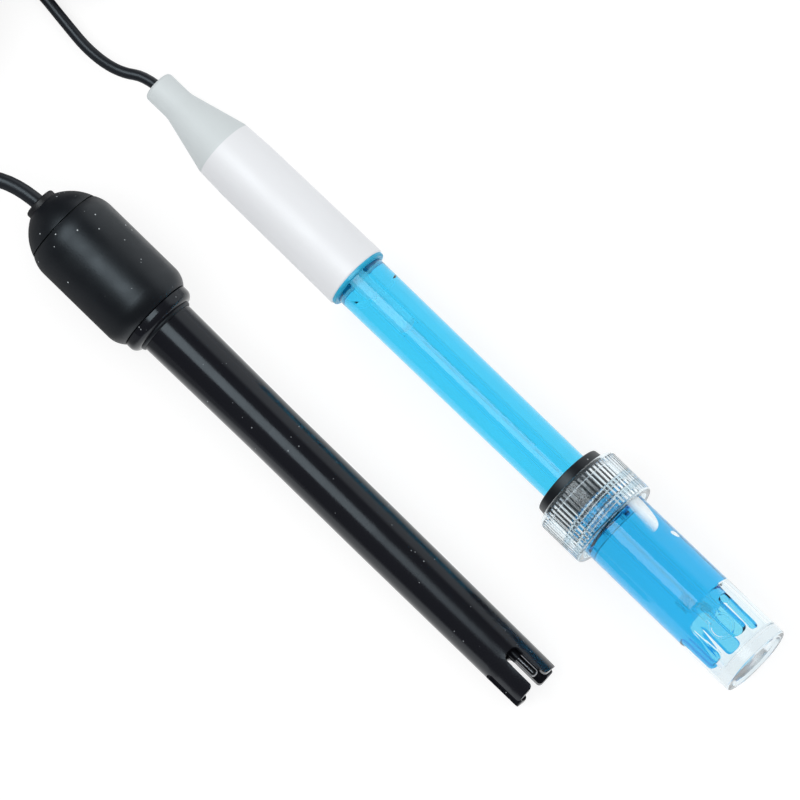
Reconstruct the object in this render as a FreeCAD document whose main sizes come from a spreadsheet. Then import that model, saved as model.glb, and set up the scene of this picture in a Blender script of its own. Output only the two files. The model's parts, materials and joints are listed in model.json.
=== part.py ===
import FreeCAD, Part
import math
import os
import Sketcher

# A pair of hand-held probes for a water test meter, lying side by side as they rest on a bench:
# a pH electrode whose tip stands in a screw-capped storage bottle, and a conductivity probe.
# Each piece is modelled about its own axis (local Z, from the cord end towards the tip or towards
# the mating face of a connector), then laid down. Millimetres and degrees throughout.

SIZES = {
    # pH electrode, heights measured from the cord end along its axis
    "ph_neck_radius": 3.57,
    "ph_neck_round": 0.9,
    "ph_neck_top": 6.6,
    "ph_cone_radius": 6.83,
    "ph_cone_top": 19.4,
    "ph_seam": 20.0,
    "ph_spigot_radius": 4.95,
    "ph_spigot_end": 25.0,
    "ph_barrel_neck_radius": 6.88,
    "ph_barrel_step": 26.2,
    "ph_barrel_step_radius": 7.17,
    "ph_barrel_end": 59.2,
    "ph_barrel_radius": 7.48,
    "ph_barrel_cavity_radius": 5.5,
    "ph_tube_start": 46.0,
    "ph_tube_head_radius": 6.05,
    "ph_flange_radius": 7.2,
    "ph_flange_end": 59.95,
    "ph_flange_round": 0.35,
    "ph_tube_top_radius": 6.1,
    "ph_seal_station": 120.0,
    "ph_tube_mid_radius": 5.9,
    "ph_tube_end": 171.1,
    "ph_tube_tip_radius": 5.85,
    "ph_tube_bore": 4.85,
    "ph_slot_root": 161.9,
    "ph_slot_half_width": 2.45,
    "ph_slot_corner": 1.5,
    "ph_prong_round": 1.5,
    "ph_plug_start": 155.6,
    "ph_plug_end": 163.0,
    "ph_stem_radius": 2.0,
    "ph_stem_bore": 1.45,
    "ph_bulb_radius": 2.9,
    "ph_bulb_centre": 166.0,
    "ph_head_plug_end": 50.0,
    "ph_junction_radius": 0.6,
    "ph_junction_offset": 3.4,
    "ph_wire_radius": 0.2,
    "ph_reference_wire_end": 112.0,
    "ph_gel_start": 56.0,
    "ph_bubble_centre": 60.8,
    "ph_bubble_shift": 0.9,
    "ph_bubble_radius": 5.5,
    "ph_fill_level": 75.4,
    "glue_gap": 0.02,
    # storage bottle, its seal and its ring cap, heights along the electrode's axis
    "seal_end": 128.9,
    "seal_bore": 5.95,
    "seal_flange_start": 121.1,
    "seal_flange_end": 123.25,
    "seal_flange_radius": 8.65,
    "seal_taper": 0.3,
    "seal_shank_radius": 7.95,
    "cap_start": 123.45,
    "cap_end": 135.2,
    "cap_radius": 10.65,
    "cap_wall_end": 125.5,
    "cap_hole": 8.3,
    "cap_bore": 9.35,
    "cap_round": 1.1,
    "rib_count": 60,
    "rib_depth": 0.32,
    "neck_start": 129.2,
    "neck_radius": 8.2,
    "neck_end": 136.2,
    "bottle_end": 176.5,
    "bottle_radius": 8.4,
    "bottle_bore": 7.2,
    "bottle_floor": 173.5,
    "bottle_floor_round": 1.0,
    "foot_recess_radius": 7.0,
    "foot_recess_depth": 0.6,
    "foot_round": 0.45,
    "fill_start": 131.0,
    "fill_bore": 6.2,
    "fill_gap": 0.03,
    "fill_floor": 171.5,
    "pocket_start": 160.2,
    "pocket_corner": 1.5,
    "pocket_front_height": 4.2,
    "pocket_back": 171.6,
    "pocket_back_height": 1.5,
    # conductivity probe, heights from the cord end along its axis
    "gland_start": 0.8,
    "gland_radius": 3.65,
    "gland_end": 2.2,
    "gland_round": 0.55,
    "dome_foot_radius": 3.95,
    "dome_end": 8.1,
    "dome_radius": 8.9,
    "dome_arc": 11.3,
    "sleeve_start": 8.4,
    "sleeve_mouth_radius": 9.0,
    "sleeve_mouth_arc": 7.5,
    "sleeve_full": 12.2,
    "sleeve_radius": 10.04,
    "sleeve_shoulder": 31.2,
    "sleeve_shoulder_arc": 5.6,
    "sleeve_end": 34.9,
    "sleeve_end_radius": 8.6,
    "sleeve_cavity_radius": 8.2,
    "sleeve_cavity_end": 16.0,
    "collar_end": 37.9,
    "collar_radius": 8.5,
    "collar_step": 0.3,
    "collar_round": 1.7,
    "lip_ring_radius": 6.8,
    "lip_ring_end": 38.6,
    "ec_tube_start": 16.0,
    "ec_tube_top_radius": 6.34,
    "ec_clamp_start": 70.0,
    "ec_clamp_end": 100.0,
    "ec_clamp_radius": 6.05,
    "ec_tube_end": 146.6,
    "ec_tube_tip_radius": 5.8,
    "ec_tube_bore": 4.4,
    "ec_slot_root": 137.8,
    "ec_slot_half_width": 1.85,
    "ec_slot_corner": 1.2,
    "ec_prong_round": 0.9,
    "cell_start": 124.0,
    "cell_end": 137.4,
    "cell_boss_end": 139.9,
    "cell_boss_radius": 1.35,
    "cell_pin_radius": 0.9,
    "cell_pin_offset": 2.0,
    "cell_pin_start": 121.0,
    "cell_pin_end": 145.0,
    "thermistor_radius": 0.6,
    "thermistor_end": 136.0,
    "lead_radius": 0.55,
    "lead_offset": 1.6,
    "lead_start": 22.5,
    "potting_start": 12.0,
    "potting_end": 22.0,
    # the two cords and their coils
    "ph_cord_radius": 1.2,
    "ec_cord_radius": 1.67,
    "cord_hole_gap": 0.05,
    "tie_thickness": 0.5,
    "tie_angle": 14.0,
    "ph_coil_middle": 12.6,
    "ph_coil_layers": 3,
    "ph_coil_height": 4,
    "ec_coil_middle": 17.3,
    "ec_coil_layers": 2,
    "ec_coil_height": 4,
    "coil_chamfer": 0.8,
    # bayonet connector on the pH cord, heights from the back of its boot
    "boot_back_radius": 2.3,
    "boot_waist": 12.0,
    "boot_waist_radius": 3.1,
    "boot_front_radius": 4.1,
    "boot_end": 21.5,
    "boot_cavity_radius": 3.05,
    "ferrule_start": 12.3,
    "ferrule_radius": 3.0,
    "bnc_body_radius": 4.75,
    "bnc_collar_end": 26.6,
    "bnc_barrel_radius": 4.05,
    "bnc_barrel_bore": 3.45,
    "bnc_barrel_end": 38.6,
    "ring_start": 26.9,
    "ring_wall_end": 28.9,
    "ring_end": 40.5,
    "ring_radius": 7.25,
    "ring_hole": 4.15,
    "ring_bore": 4.95,
    "ring_groove": 5.9,
    "ring_groove_half_width": 1.1,
    "ring_groove_depth": 6.5,
    "ring_lock_radius": 1.2,
    "ring_lock_height": 34.0,
    "ring_flutes": 24,
    "ring_flute_depth": 0.35,
    "ring_grip_end": 31.5,
    "insulator_end": 35.0,
    "insulator_nose_radius": 2.3,
    "insulator_step": 31.0,
    "bnc_pin_radius": 0.66,
    "bnc_pin_end": 37.6,
    # screw-ring connector on the conductivity probe's cord, heights from the back of its boot
    "plug_boot_back_radius": 2.6,
    "plug_boot_waist": 14.0,
    "plug_boot_waist_radius": 3.6,
    "plug_boot_front_radius": 5.0,
    "plug_boot_end": 20.0,
    "plug_body_radius": 5.8,
    "plug_body_end": 32.5,
    "plug_body_bore": 4.6,
    "plug_spigot_radius": 5.4,
    "plug_spigot_end": 41.0,
    "nut_start": 32.9,
    "nut_wall_end": 34.9,
    "nut_end": 43.0,
    "nut_radius": 8.0,
    "nut_hole": 5.5,
    "nut_bore": 6.6,
    "nut_flutes": 18,
    "nut_flute_depth": 0.5,
    "plug_insert_end": 37.5,
    "plug_pin_radius": 0.5,
    "plug_pin_offset": 2.3,
    "plug_pin_count": 4,
    "plug_pin_end": 41.8,
    # how the pieces lie on the bench: X along the probes, Y across, Z up
    "ph_end_along": -88.27,
    "ph_across": 17.66,
    "ph_rise": 2.027,
    "ph_end_height": 6.239,
    "ph_guard_spin": 31.0,
    "pocket_spin": -24.0,
    "ec_end_along": -87.9,
    "ec_across": -18.36,
    "ec_heading": 0.39,
    "ec_rise": -2.176,
    "ec_end_height": 11.221,
    "ec_guard_spin": -6.0,
    "cell_pin_spin": -49.0,
    "ph_coil_along": -127.4,
    "ph_coil_across": 30.2,
    "ec_coil_along": -137.9,
    "ec_coil_across": -12.8,
    "tie_bearing": 60.0,
    "bnc_along": -157.0,
    "bnc_across": 41.2,
    "bnc_heading": 180.0,
    "bnc_rise": 10.24,
    "plug_along": -168.4,
    "plug_across": -14.0,
    "plug_heading": 90.0,
    "plug_rise": 9.155,
}

# Where the free cords run on the bench: between the probe's end and its coil, and between the
# coil and the connector's boot. The two places nearest a probe or a boot are on that piece's
# axis, so they are given as heights along it, a negative one outside it.
PH_CORD_START = (4.0, -2.5)
PH_CORD_PLACES = [
    (-96.0, 14.1, 5.0),
    (-103.9, 13.2, 2.7),
    (-112.9, 14.3, 1.8),
    (-120.6, 15.2, 2.1),
    (-127.4, 16.4, 2.4),
]
PH_TAIL_PLACES = [
    (-141.8, 30.2, 8.5),
    (-142.8, 37.3, 6.8),
    (-148.4, 41.2, 3.9),
]
PH_TAIL_END = (-2.2, 4.5)
EC_CORD_START = (4.5, -3.6)
EC_CORD_PLACES = [
    (-100.6, -22.8, 9.5),
    (-109.6, -27.3, 5.0),
    (-119.6, -31.0, 2.4),
    (-128.6, -31.5, 2.4),
    (-137.9, -31.0, 2.6),
]
EC_TAIL_PLACES = [
    (-137.9, -31.0, 11.7),
    (-147.5, -32.2, 10.0),
    (-157.4, -30.8, 6.0),
    (-165.0, -25.4, 3.2),
]
EC_TAIL_END = (-3.0, 5.0)


class Size:
    """A length with its value and the spreadsheet expression that gives it."""

    def __init__(self, value, text):
        self.value, self.text = value, text

    def __add__(self, other):
        return joined(self, "+", other, self.value + size_of(other).value)

    def __sub__(self, other):
        return joined(self, "-", other, self.value - size_of(other).value)

    def __mul__(self, other):
        return joined(self, "*", other, self.value * size_of(other).value)

    def __neg__(self):
        return Size(-self.value, f"(-1 * {self.text})")


def size_of(thing):
    return thing if isinstance(thing, Size) else Size(float(thing), f"({float(thing)})")


def joined(one, sign, other, value):
    return Size(value, f"({one.text} {sign} {size_of(other).text})")


class Sheet:
    """The named cells, read as attributes: dim.cap_radius."""

    def __getattr__(self, alias):
        return Size(SIZES[alias], f"Sizes.{alias}")


dim = Sheet()


def fill_sheet():
    sheet = doc.addObject("Spreadsheet::Sheet", "Sizes")
    for row, (alias, number) in enumerate(SIZES.items(), start=1):
        sheet.set(f"A{row}", alias)
        sheet.set(f"B{row}", str(number))
        sheet.setAlias(f"B{row}", alias)
    doc.recompute()


# ---------------------------------------------------------------- drawing and shaping helpers


def sketch_on(body, plane, label):
    sketch = body.newObject("Sketcher::SketchObject", label)
    origin_plane = next(f for f in body.Origin.OriginFeatures if f.Role == plane)
    sketch.AttachmentSupport = (origin_plane, [""])
    sketch.MapMode = "FlatFace"
    return sketch


def arc_edge(start, stop, radius):
    """The shorter arc between two points; its centre is to the left of the way for radius > 0."""
    chord = stop - start
    side = FreeCAD.Vector(-chord.y, chord.x, 0).normalize()
    reach = math.sqrt(radius**2 - (chord.Length / 2) ** 2)
    centre = (start + stop) * 0.5 + side * math.copysign(reach, radius)
    first, last = (start, stop) if radius > 0 else (stop, start)
    angles = [math.atan2(p.y - centre.y, p.x - centre.x) for p in (first, last)]
    circle = Part.Circle(centre, FreeCAD.Vector(0, 0, 1), abs(radius))
    return Part.ArcOfCircle(circle, angles[0], angles[1])


def draw(sketch, points):
    """Draws a closed outline, pinned to the sheet. A point is (across, up), or (across, up,
    radius) where an arc runs from it to the next point."""
    places = [(size_of(p[0]), size_of(p[1])) for p in points]
    corners = [FreeCAD.Vector(a.value, b.value, 0) for a, b in places]
    count, base = len(points), sketch.GeometryCount
    edges, ends, rules, bound = [], [], [], []
    for index, point in enumerate(points):
        start, stop = corners[index], corners[(index + 1) % count]
        if len(point) == 3:
            radius = size_of(point[2])
            edges.append(arc_edge(start, stop, radius.value))
            ends.append((1, 2) if radius.value > 0 else (2, 1))
        else:
            edges.append(Part.LineSegment(start, stop))
            ends.append((1, 2))
    sketch.addGeometry(edges, False)
    for index in range(count):
        following = (index + 1) % count
        rules.append(Sketcher.Constraint("Coincident", base + index, ends[index][1],
                                         base + following, ends[following][0]))
    for index, (across, up) in enumerate(places):
        for kind, axis, size in (("DistanceX", -2, across), ("DistanceY", -1, up)):
            if size.value == 0:
                rules.append(Sketcher.Constraint("PointOnObject", base + index, ends[index][0], axis))
            else:
                bound.append((len(rules), size.text))
                rules.append(Sketcher.Constraint(kind, -1, 1, base + index, ends[index][0], size.value))
    for index, point in enumerate(points):
        if len(point) == 3:
            radius = size_of(point[2])
            text = radius.text if radius.value > 0 else f"(-1 * {radius.text})"
            bound.append((len(rules), text))
            rules.append(Sketcher.Constraint("Radius", base + index, abs(radius.value)))
    first = sketch.ConstraintCount
    sketch.addConstraint(rules)
    for place, text in bound:
        sketch.setExpression(f"Constraints[{first + place}]", text)


def turned(label, *outlines, angle=360):
    """A solid turned about the local Z axis from outlines of (radius, height) points."""
    body = doc.addObject("PartDesign::Body", label)
    sketch = sketch_on(body, "XZ_Plane", label + "_outline")
    for outline in outlines:
        draw(sketch, outline)
    turn = body.newObject("PartDesign::Revolution", label + "_turn")
    turn.Profile = sketch
    turn.ReferenceAxis = (sketch, ["V_Axis"])
    if isinstance(angle, Size):
        turn.Midplane = True
        turn.setExpression("Angle", angle.text)
    else:
        turn.Angle = angle
    doc.recompute()
    return body


def dress(body, kind, size, rings):
    """Rounds or chamfers the circular edges that lie at the given (radius, height) places."""
    names = []
    for number, edge in enumerate(body.Shape.Edges, start=1):
        if edge.Curve.TypeId != "Part::GeomCircle":
            continue
        for radius, height in rings:
            near = abs(edge.Curve.Radius - size_of(radius).value) < 1e-4
            if near and abs(edge.Curve.Center.z - size_of(height).value) < 1e-4:
                names.append(f"Edge{number}")
    if len(names) < len(rings):
        raise ValueError(f"{body.Label}: an edge to dress is missing")
    feature = body.newObject(f"PartDesign::{kind}", f"{body.Label}_{kind.lower()}")
    feature.Base = (feature.BaseFeature or body.Tip, names)
    feature.setExpression("Radius" if kind == "Fillet" else "Size", size.text)
    doc.recompute()
    return feature


def cut(body, plane, outline, label, depth=None, both=False, flip=False):
    """Cuts an outline, or a circle given as (across, up, radius), through the body."""
    before = body.Shape.Volume
    sketch = sketch_on(body, plane, label + "_outline")
    if isinstance(outline, list):
        draw(sketch, outline)
    else:
        circle(sketch, *outline)
    pocket = body.newObject("PartDesign::Pocket", label)
    pocket.Profile = sketch
    if depth is None:
        pocket.Type = "ThroughAll"
    else:
        pocket.setExpression("Length", depth.text)
    pocket.SideType = "Symmetric" if both else "One side"
    pocket.Reversed = flip
    doc.recompute()
    if body.Shape.Volume > before - 1e-6:
        raise ValueError(f"{body.Label}: {label} cuts nothing")
    return pocket


def circle(sketch, across, up, radius):
    centre = FreeCAD.Vector(size_of(across).value, size_of(up).value, 0)
    up_axis = FreeCAD.Vector(0, 0, 1)
    edge = sketch.addGeometry(Part.Circle(centre, up_axis, size_of(radius).value), False)
    rules = [("Radius", (edge,), radius)]
    for kind, axis, size in (("DistanceX", -2, across), ("DistanceY", -1, up)):
        if size_of(size).value == 0:
            sketch.addConstraint(Sketcher.Constraint("PointOnObject", edge, 3, axis))
        else:
            rules.append((kind, (-1, 1, edge, 3), size))
    for kind, places, size in rules:
        size = size_of(size)
        number = sketch.addConstraint(Sketcher.Constraint(kind, *places, size.value))
        sketch.setExpression(f"Constraints[{number}]", size.text)


def repeat_round(body, feature, count, angle=360):
    """Repeats a feature around the local Z axis; angle is the whole circle or the last place."""
    pattern = body.newObject("PartDesign::PolarPattern", feature.Label + "_pattern")
    pattern.Originals = [feature]
    z_axis = next(f for f in body.Origin.OriginFeatures if f.Role == "Z_Axis")
    pattern.Axis = (z_axis, [""])
    pattern.Angle = angle
    if isinstance(count, Size):
        pattern.setExpression("Occurrences", count.text)
    else:
        pattern.Occurrences = count
    body.Tip = pattern
    doc.recompute()
    return pattern


def rod(label, radius, start, end, offset=0):
    """A plain round rod along the local Z axis, offset along the local X axis."""
    cylinder = doc.addObject("Part::Cylinder", label)
    start, end, offset = size_of(start), size_of(end), size_of(offset)
    cylinder.setExpression("Radius", size_of(radius).text)
    cylinder.setExpression("Height", (end - start).text)
    cylinder.setExpression("Placement.Base.z", start.text)
    cylinder.setExpression("Placement.Base.x", offset.text)
    return cylinder


def rods_round(label, radius, start, end, offset, count, round_end=False):
    """Separate round rods spread evenly about the local Z axis, as one group."""
    body = doc.addObject("PartDesign::Body", label)
    start, end, offset = size_of(start), size_of(end), size_of(offset)
    sketch = sketch_on(body, "XY_Plane", label + "_outline")
    circle(sketch, offset, 0, radius)
    sketch.AttachmentOffset = FreeCAD.Placement(FreeCAD.Vector(0, 0, start.value), FreeCAD.Rotation())
    sketch.setExpression("AttachmentOffset.Base.z", start.text)
    pad = body.newObject("PartDesign::Pad", label + "_pad")
    pad.Profile = sketch
    pad.setExpression("Length", (end - start).text)
    doc.recompute()
    if round_end:
        tip = next(f"Edge{i}" for i, e in enumerate(pad.Shape.Edges, start=1)
                   if e.Curve.TypeId == "Part::GeomCircle" and abs(e.Curve.Center.z - end.value) < 1e-4)
        fillet = body.newObject("PartDesign::Fillet", label + "_tip")
        fillet.Base = (pad, [tip])
        fillet.setExpression("Radius", (size_of(radius) * 0.8).text)
        doc.recompute()
    pattern = repeat_round(body, pad, count)
    if round_end:
        pattern.TransformMode = "Whole shape"
        doc.recompute()
    return body


def flutes(body, label, radius, depth, count, start, end):
    """Cuts fine V grooves along a ring's rim, between two heights."""
    inner, outer = radius - depth, radius + depth
    sketch_height = size_of(start)
    sketch = sketch_on(body, "XY_Plane", label + "_outline")
    draw(sketch, [(inner, 0), (outer, -depth * 1.9), (outer, depth * 1.9)])
    sketch.AttachmentOffset = FreeCAD.Placement(
        FreeCAD.Vector(0, 0, sketch_height.value), FreeCAD.Rotation())
    sketch.setExpression("AttachmentOffset.Base.z", sketch_height.text)
    before = body.Shape.Volume
    pocket = body.newObject("PartDesign::Pocket", label)
    pocket.Profile = sketch
    pocket.setExpression("Length", (size_of(end) - start).text)
    pocket.Reversed = True
    doc.recompute()
    if body.Shape.Volume > before - 1e-6:
        raise ValueError(f"{body.Label}: {label} cuts nothing")
    return repeat_round(body, pocket, count)


def castellate(body, half_width, root, end, corner, mouth):
    """Cuts four lengthwise slots into a tube's open end: round inner corners, rounded prongs."""
    over = end + 2
    outline = [
        (half_width, root + corner),
        (half_width, end - mouth, -mouth),
        (half_width + mouth, end),
        (half_width + mouth, over),
        (-half_width - mouth, over),
        (-half_width - mouth, end, -mouth),
        (-half_width, end - mouth),
        (-half_width, root + corner, corner),
        (-half_width + corner, root),
        (half_width - corner, root, corner),
    ]
    slot = cut(body, "XZ_Plane", outline, body.Label + "_slot", both=True)
    return repeat_round(body, slot, 2, angle=90)


# ---------------------------------------------------------------- pH electrode


def ph_strain_relief():
    bore = dim.ph_cord_radius + dim.cord_hole_gap
    body = turned("ph_strain_relief", [
        (bore, 0),
        (dim.ph_neck_radius - dim.ph_neck_round, 0, dim.ph_neck_round),
        (dim.ph_neck_radius, dim.ph_neck_round),
        (dim.ph_neck_radius, dim.ph_neck_top),
        (dim.ph_cone_radius, dim.ph_cone_top),
        (dim.ph_cone_radius, dim.ph_seam),
        (dim.ph_spigot_radius, dim.ph_seam),
        (dim.ph_spigot_radius, dim.ph_spigot_end),
        (bore, dim.ph_spigot_end),
    ])
    dress(body, "Fillet", dim.ph_neck_top, [(dim.ph_neck_radius, dim.ph_neck_top)])
    return body


def ph_barrel():
    socket = dim.ph_tube_head_radius
    body = turned("ph_barrel", [
        (dim.ph_spigot_radius, dim.ph_seam),
        (dim.ph_barrel_neck_radius, dim.ph_seam),
        (dim.ph_barrel_step_radius, dim.ph_barrel_step),
        (dim.ph_barrel_radius, dim.ph_barrel_end),
        (socket, dim.ph_barrel_end),
        (socket, dim.ph_tube_start),
        (dim.ph_barrel_cavity_radius, dim.ph_tube_start),
        (dim.ph_barrel_cavity_radius, dim.ph_spigot_end + 0.2),
        (dim.ph_spigot_radius, dim.ph_spigot_end + 0.2),
    ])
    dress(body, "Fillet", dim.foot_round, [(dim.ph_barrel_radius, dim.ph_barrel_end)])
    return body


def ph_potting():
    return rod("ph_potting", dim.ph_barrel_cavity_radius - dim.glue_gap,
               dim.ph_spigot_end + 0.4, dim.ph_tube_start)


def ph_tube():
    body = turned("ph_tube", [
        (dim.ph_tube_bore, dim.ph_tube_start),
        (dim.ph_tube_head_radius - dim.glue_gap, dim.ph_tube_start),
        (dim.ph_tube_head_radius - dim.glue_gap, dim.ph_barrel_end),
        (dim.ph_flange_radius, dim.ph_barrel_end),
        (dim.ph_flange_radius, dim.ph_flange_end),
        (dim.ph_tube_top_radius, dim.ph_flange_end),
        (dim.ph_tube_mid_radius, dim.ph_seal_station),
        (dim.ph_tube_tip_radius, dim.ph_tube_end),
        (dim.ph_tube_bore, dim.ph_tube_end),
    ])
    dress(body, "Fillet", dim.ph_flange_round, [(dim.ph_flange_radius, dim.ph_flange_end)])
    castellate(body, dim.ph_slot_half_width, dim.ph_slot_root, dim.ph_tube_end,
               dim.ph_slot_corner, dim.ph_prong_round)
    return body


def ph_head_plug():
    inner, outer = dim.ph_stem_radius + dim.glue_gap, dim.ph_tube_bore - dim.glue_gap
    return turned("ph_head_plug", [
        (inner, dim.ph_tube_start),
        (outer, dim.ph_tube_start),
        (outer, dim.ph_head_plug_end),
        (inner, dim.ph_head_plug_end),
    ])


def ph_tip_plug():
    inner, outer = dim.ph_stem_radius + dim.glue_gap, dim.ph_tube_bore - dim.glue_gap
    body = turned("ph_tip_plug", [
        (inner, dim.ph_plug_start),
        (outer, dim.ph_plug_start),
        (outer, dim.ph_plug_end),
        (inner, dim.ph_plug_end),
    ])
    junction = (dim.ph_junction_offset, 0, dim.ph_junction_radius)
    cut(body, "XY_Plane", junction, "ph_junction_hole", flip=True)
    return body


def ph_junction():
    return rod("ph_junction", dim.ph_junction_radius, dim.ph_plug_start, dim.ph_plug_end + 0.2,
               dim.ph_junction_offset)


def ph_stem():
    return turned("ph_stem", [
        (dim.ph_stem_bore, dim.ph_tube_start),
        (dim.ph_stem_radius, dim.ph_tube_start),
        (dim.ph_stem_radius, dim.ph_plug_end),
        (dim.ph_stem_bore, dim.ph_plug_end),
    ])


def ph_bulb():
    """The blown glass membrane: a round bulb on the end of the stem, hollow."""
    wall = dim.ph_stem_radius - dim.ph_stem_bore
    return turned("ph_bulb", [
        (dim.ph_stem_bore, dim.ph_plug_end),
        (dim.ph_stem_radius, dim.ph_plug_end),
        (dim.ph_stem_radius, dim.ph_bulb_centre - 2.1, dim.ph_bulb_radius),
        (dim.ph_bulb_radius, dim.ph_bulb_centre, dim.ph_bulb_radius),
        (0, dim.ph_bulb_centre + dim.ph_bulb_radius),
        (0, dim.ph_bulb_centre + dim.ph_bulb_radius - wall, -(dim.ph_bulb_radius - wall)),
        (dim.ph_bulb_radius - wall, dim.ph_bulb_centre, -(dim.ph_bulb_radius - wall)),
        (dim.ph_stem_bore, dim.ph_bulb_centre - 1.85),
    ])


def ph_stem_fill():
    """The buffer in the stem, up to the round end of its air bubble."""
    radius = dim.ph_stem_bore - dim.glue_gap
    return turned("ph_stem_fill", [
        (dim.ph_wire_radius, dim.ph_fill_level),
        (radius, dim.ph_fill_level - radius * 0.8),
        (radius, dim.ph_plug_end),
        (dim.ph_wire_radius, dim.ph_plug_end),
    ])


def ph_reference_gel():
    """The gel between the stem and the tube, with a round-ended air bubble on top by the barrel."""
    radius = dim.ph_tube_bore - dim.glue_gap
    body = turned("ph_reference_gel", [
        (dim.ph_stem_radius, dim.ph_gel_start),
        (radius, dim.ph_gel_start),
        (radius, dim.ph_plug_start),
        (dim.ph_stem_radius, dim.ph_plug_start),
    ])
    side, reach, middle = dim.ph_bubble_shift, dim.ph_bubble_radius, dim.ph_bubble_centre
    cut(body, "YZ_Plane", [
        (side - reach, dim.ph_gel_start - 1),
        (side + reach, dim.ph_gel_start - 1),
        (side + reach, middle, reach),
        (side, middle + reach, reach),
        (side - reach, middle),
    ], "ph_gel_bubble")
    cut(body, "XY_Plane", (-dim.ph_junction_offset, 0, dim.ph_wire_radius),
        "ph_gel_wire_hole", depth=dim.ph_reference_wire_end, flip=True)
    return body


def ph_inner_wire():
    return rod("ph_inner_wire", dim.ph_wire_radius, dim.ph_tube_start, dim.ph_bulb_centre)


def ph_reference_wire():
    return rod("ph_reference_wire", dim.ph_wire_radius, dim.ph_head_plug_end,
               dim.ph_reference_wire_end, -dim.ph_junction_offset)


def ph_cord_core():
    return rod("ph_cord_core", dim.ph_cord_radius, PH_CORD_START[0], dim.ph_spigot_end + 0.4)


# ---------------------------------------------------------------- storage bottle


def storage_seal():
    """The black rubber seal: a flange outside the ring cap and a shank that is squeezed inside."""
    body = turned("storage_seal", [
        (dim.seal_bore, dim.seal_flange_start),
        (dim.seal_flange_radius - dim.seal_taper, dim.seal_flange_start),
        (dim.seal_flange_radius, dim.seal_flange_end),
        (dim.seal_shank_radius, dim.seal_flange_end),
        (dim.seal_shank_radius, dim.seal_end),
        (dim.seal_bore, dim.seal_end),
    ])
    flange_rim = dim.seal_flange_radius - dim.seal_taper
    dress(body, "Fillet", dim.seal_taper, [(flange_rim, dim.seal_flange_start)])
    return body


def storage_cap():
    body = turned("storage_cap", [
        (dim.cap_hole, dim.cap_start),
        (dim.cap_radius - dim.cap_round, dim.cap_start, dim.cap_round),
        (dim.cap_radius, dim.cap_start + dim.cap_round),
        (dim.cap_radius, dim.cap_end - dim.foot_round, dim.foot_round),
        (dim.cap_radius - dim.foot_round, dim.cap_end),
        (dim.cap_bore, dim.cap_end),
        (dim.cap_bore, dim.cap_wall_end),
        (dim.cap_hole, dim.cap_wall_end),
    ])
    flutes(body, "storage_cap_ribs", dim.cap_radius, dim.rib_depth, dim.rib_count,
           dim.cap_start + dim.cap_round, dim.cap_end - dim.foot_round)
    return body


def storage_bottle():
    lip = dim.foot_round
    return turned("storage_bottle", [
        (dim.bottle_bore, dim.neck_start),
        (dim.neck_radius, dim.neck_start),
        (dim.neck_radius, dim.neck_end),
        (dim.bottle_radius, dim.bottle_end - lip, lip),
        (dim.bottle_radius - lip, dim.bottle_end),
        (dim.foot_recess_radius, dim.bottle_end),
        (dim.foot_recess_radius - 0.5, dim.bottle_end - dim.foot_recess_depth),
        (0, dim.bottle_end - dim.foot_recess_depth),
        (0, dim.bottle_floor),
        (dim.bottle_bore - dim.bottle_floor_round, dim.bottle_floor, -dim.bottle_floor_round),
        (dim.bottle_bore, dim.bottle_floor - dim.bottle_floor_round),
    ])


def storage_solution():
    """The clear solution round the tip, with the air pocket at the bottle's closed end."""
    outer = dim.bottle_bore - dim.fill_gap
    floor = dim.bottle_floor - dim.fill_gap
    body = turned("storage_solution", [
        (dim.fill_bore, dim.fill_start),
        (outer, dim.fill_start),
        (outer, floor - dim.bottle_floor_round),
        (outer - dim.bottle_floor_round, floor),
        (0, floor),
        (0, dim.fill_floor),
        (dim.fill_bore, dim.fill_floor),
    ])
    corner, front = dim.pocket_corner, -dim.pocket_front_height
    cut(body, "XZ_Plane", [
        (-dim.bottle_bore - 1, dim.pocket_start),
        (front - corner, dim.pocket_start, corner),
        (front, dim.pocket_start + corner),
        (-dim.pocket_back_height, dim.pocket_back),
        (-dim.pocket_back_height, dim.bottle_end),
        (-dim.bottle_bore - 1, dim.bottle_end),
    ], "storage_air_pocket", both=True)
    return body


# ---------------------------------------------------------------- conductivity probe


def ec_gland():
    bore = dim.ec_cord_radius + dim.cord_hole_gap
    return turned("ec_gland", [
        (bore, dim.gland_start),
        (dim.gland_radius - dim.gland_round, dim.gland_start, dim.gland_round),
        (dim.gland_radius, dim.gland_start + dim.gland_round),
        (dim.gland_radius, dim.gland_end),
        (bore, dim.gland_end),
    ])


def ec_dome_cap():
    bore = dim.ec_cord_radius + dim.cord_hole_gap
    return turned("ec_dome_cap", [
        (bore, dim.gland_end),
        (dim.dome_foot_radius, dim.gland_end, dim.dome_arc),
        (dim.dome_radius, dim.dome_end),
        (dim.sleeve_cavity_radius, dim.dome_end),
        (dim.sleeve_cavity_radius, dim.potting_start - dim.glue_gap),
        (bore, dim.potting_start - dim.glue_gap),
    ])


def ec_grip_sleeve():
    """The soft grip: its mouth curves in to the dome's seam and its shoulder to the collar."""
    return turned("ec_grip_sleeve", [
        (dim.sleeve_cavity_radius + dim.glue_gap, dim.sleeve_start),
        (dim.sleeve_mouth_radius, dim.sleeve_start, dim.sleeve_mouth_arc),
        (dim.sleeve_radius, dim.sleeve_full),
        (dim.sleeve_radius, dim.sleeve_shoulder, dim.sleeve_shoulder_arc),
        (dim.sleeve_end_radius, dim.sleeve_end),
        (dim.ec_tube_top_radius + dim.glue_gap, dim.sleeve_end),
        (dim.ec_tube_top_radius + dim.glue_gap, dim.sleeve_cavity_end),
        (dim.sleeve_cavity_radius + dim.glue_gap, dim.sleeve_cavity_end),
    ])


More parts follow.
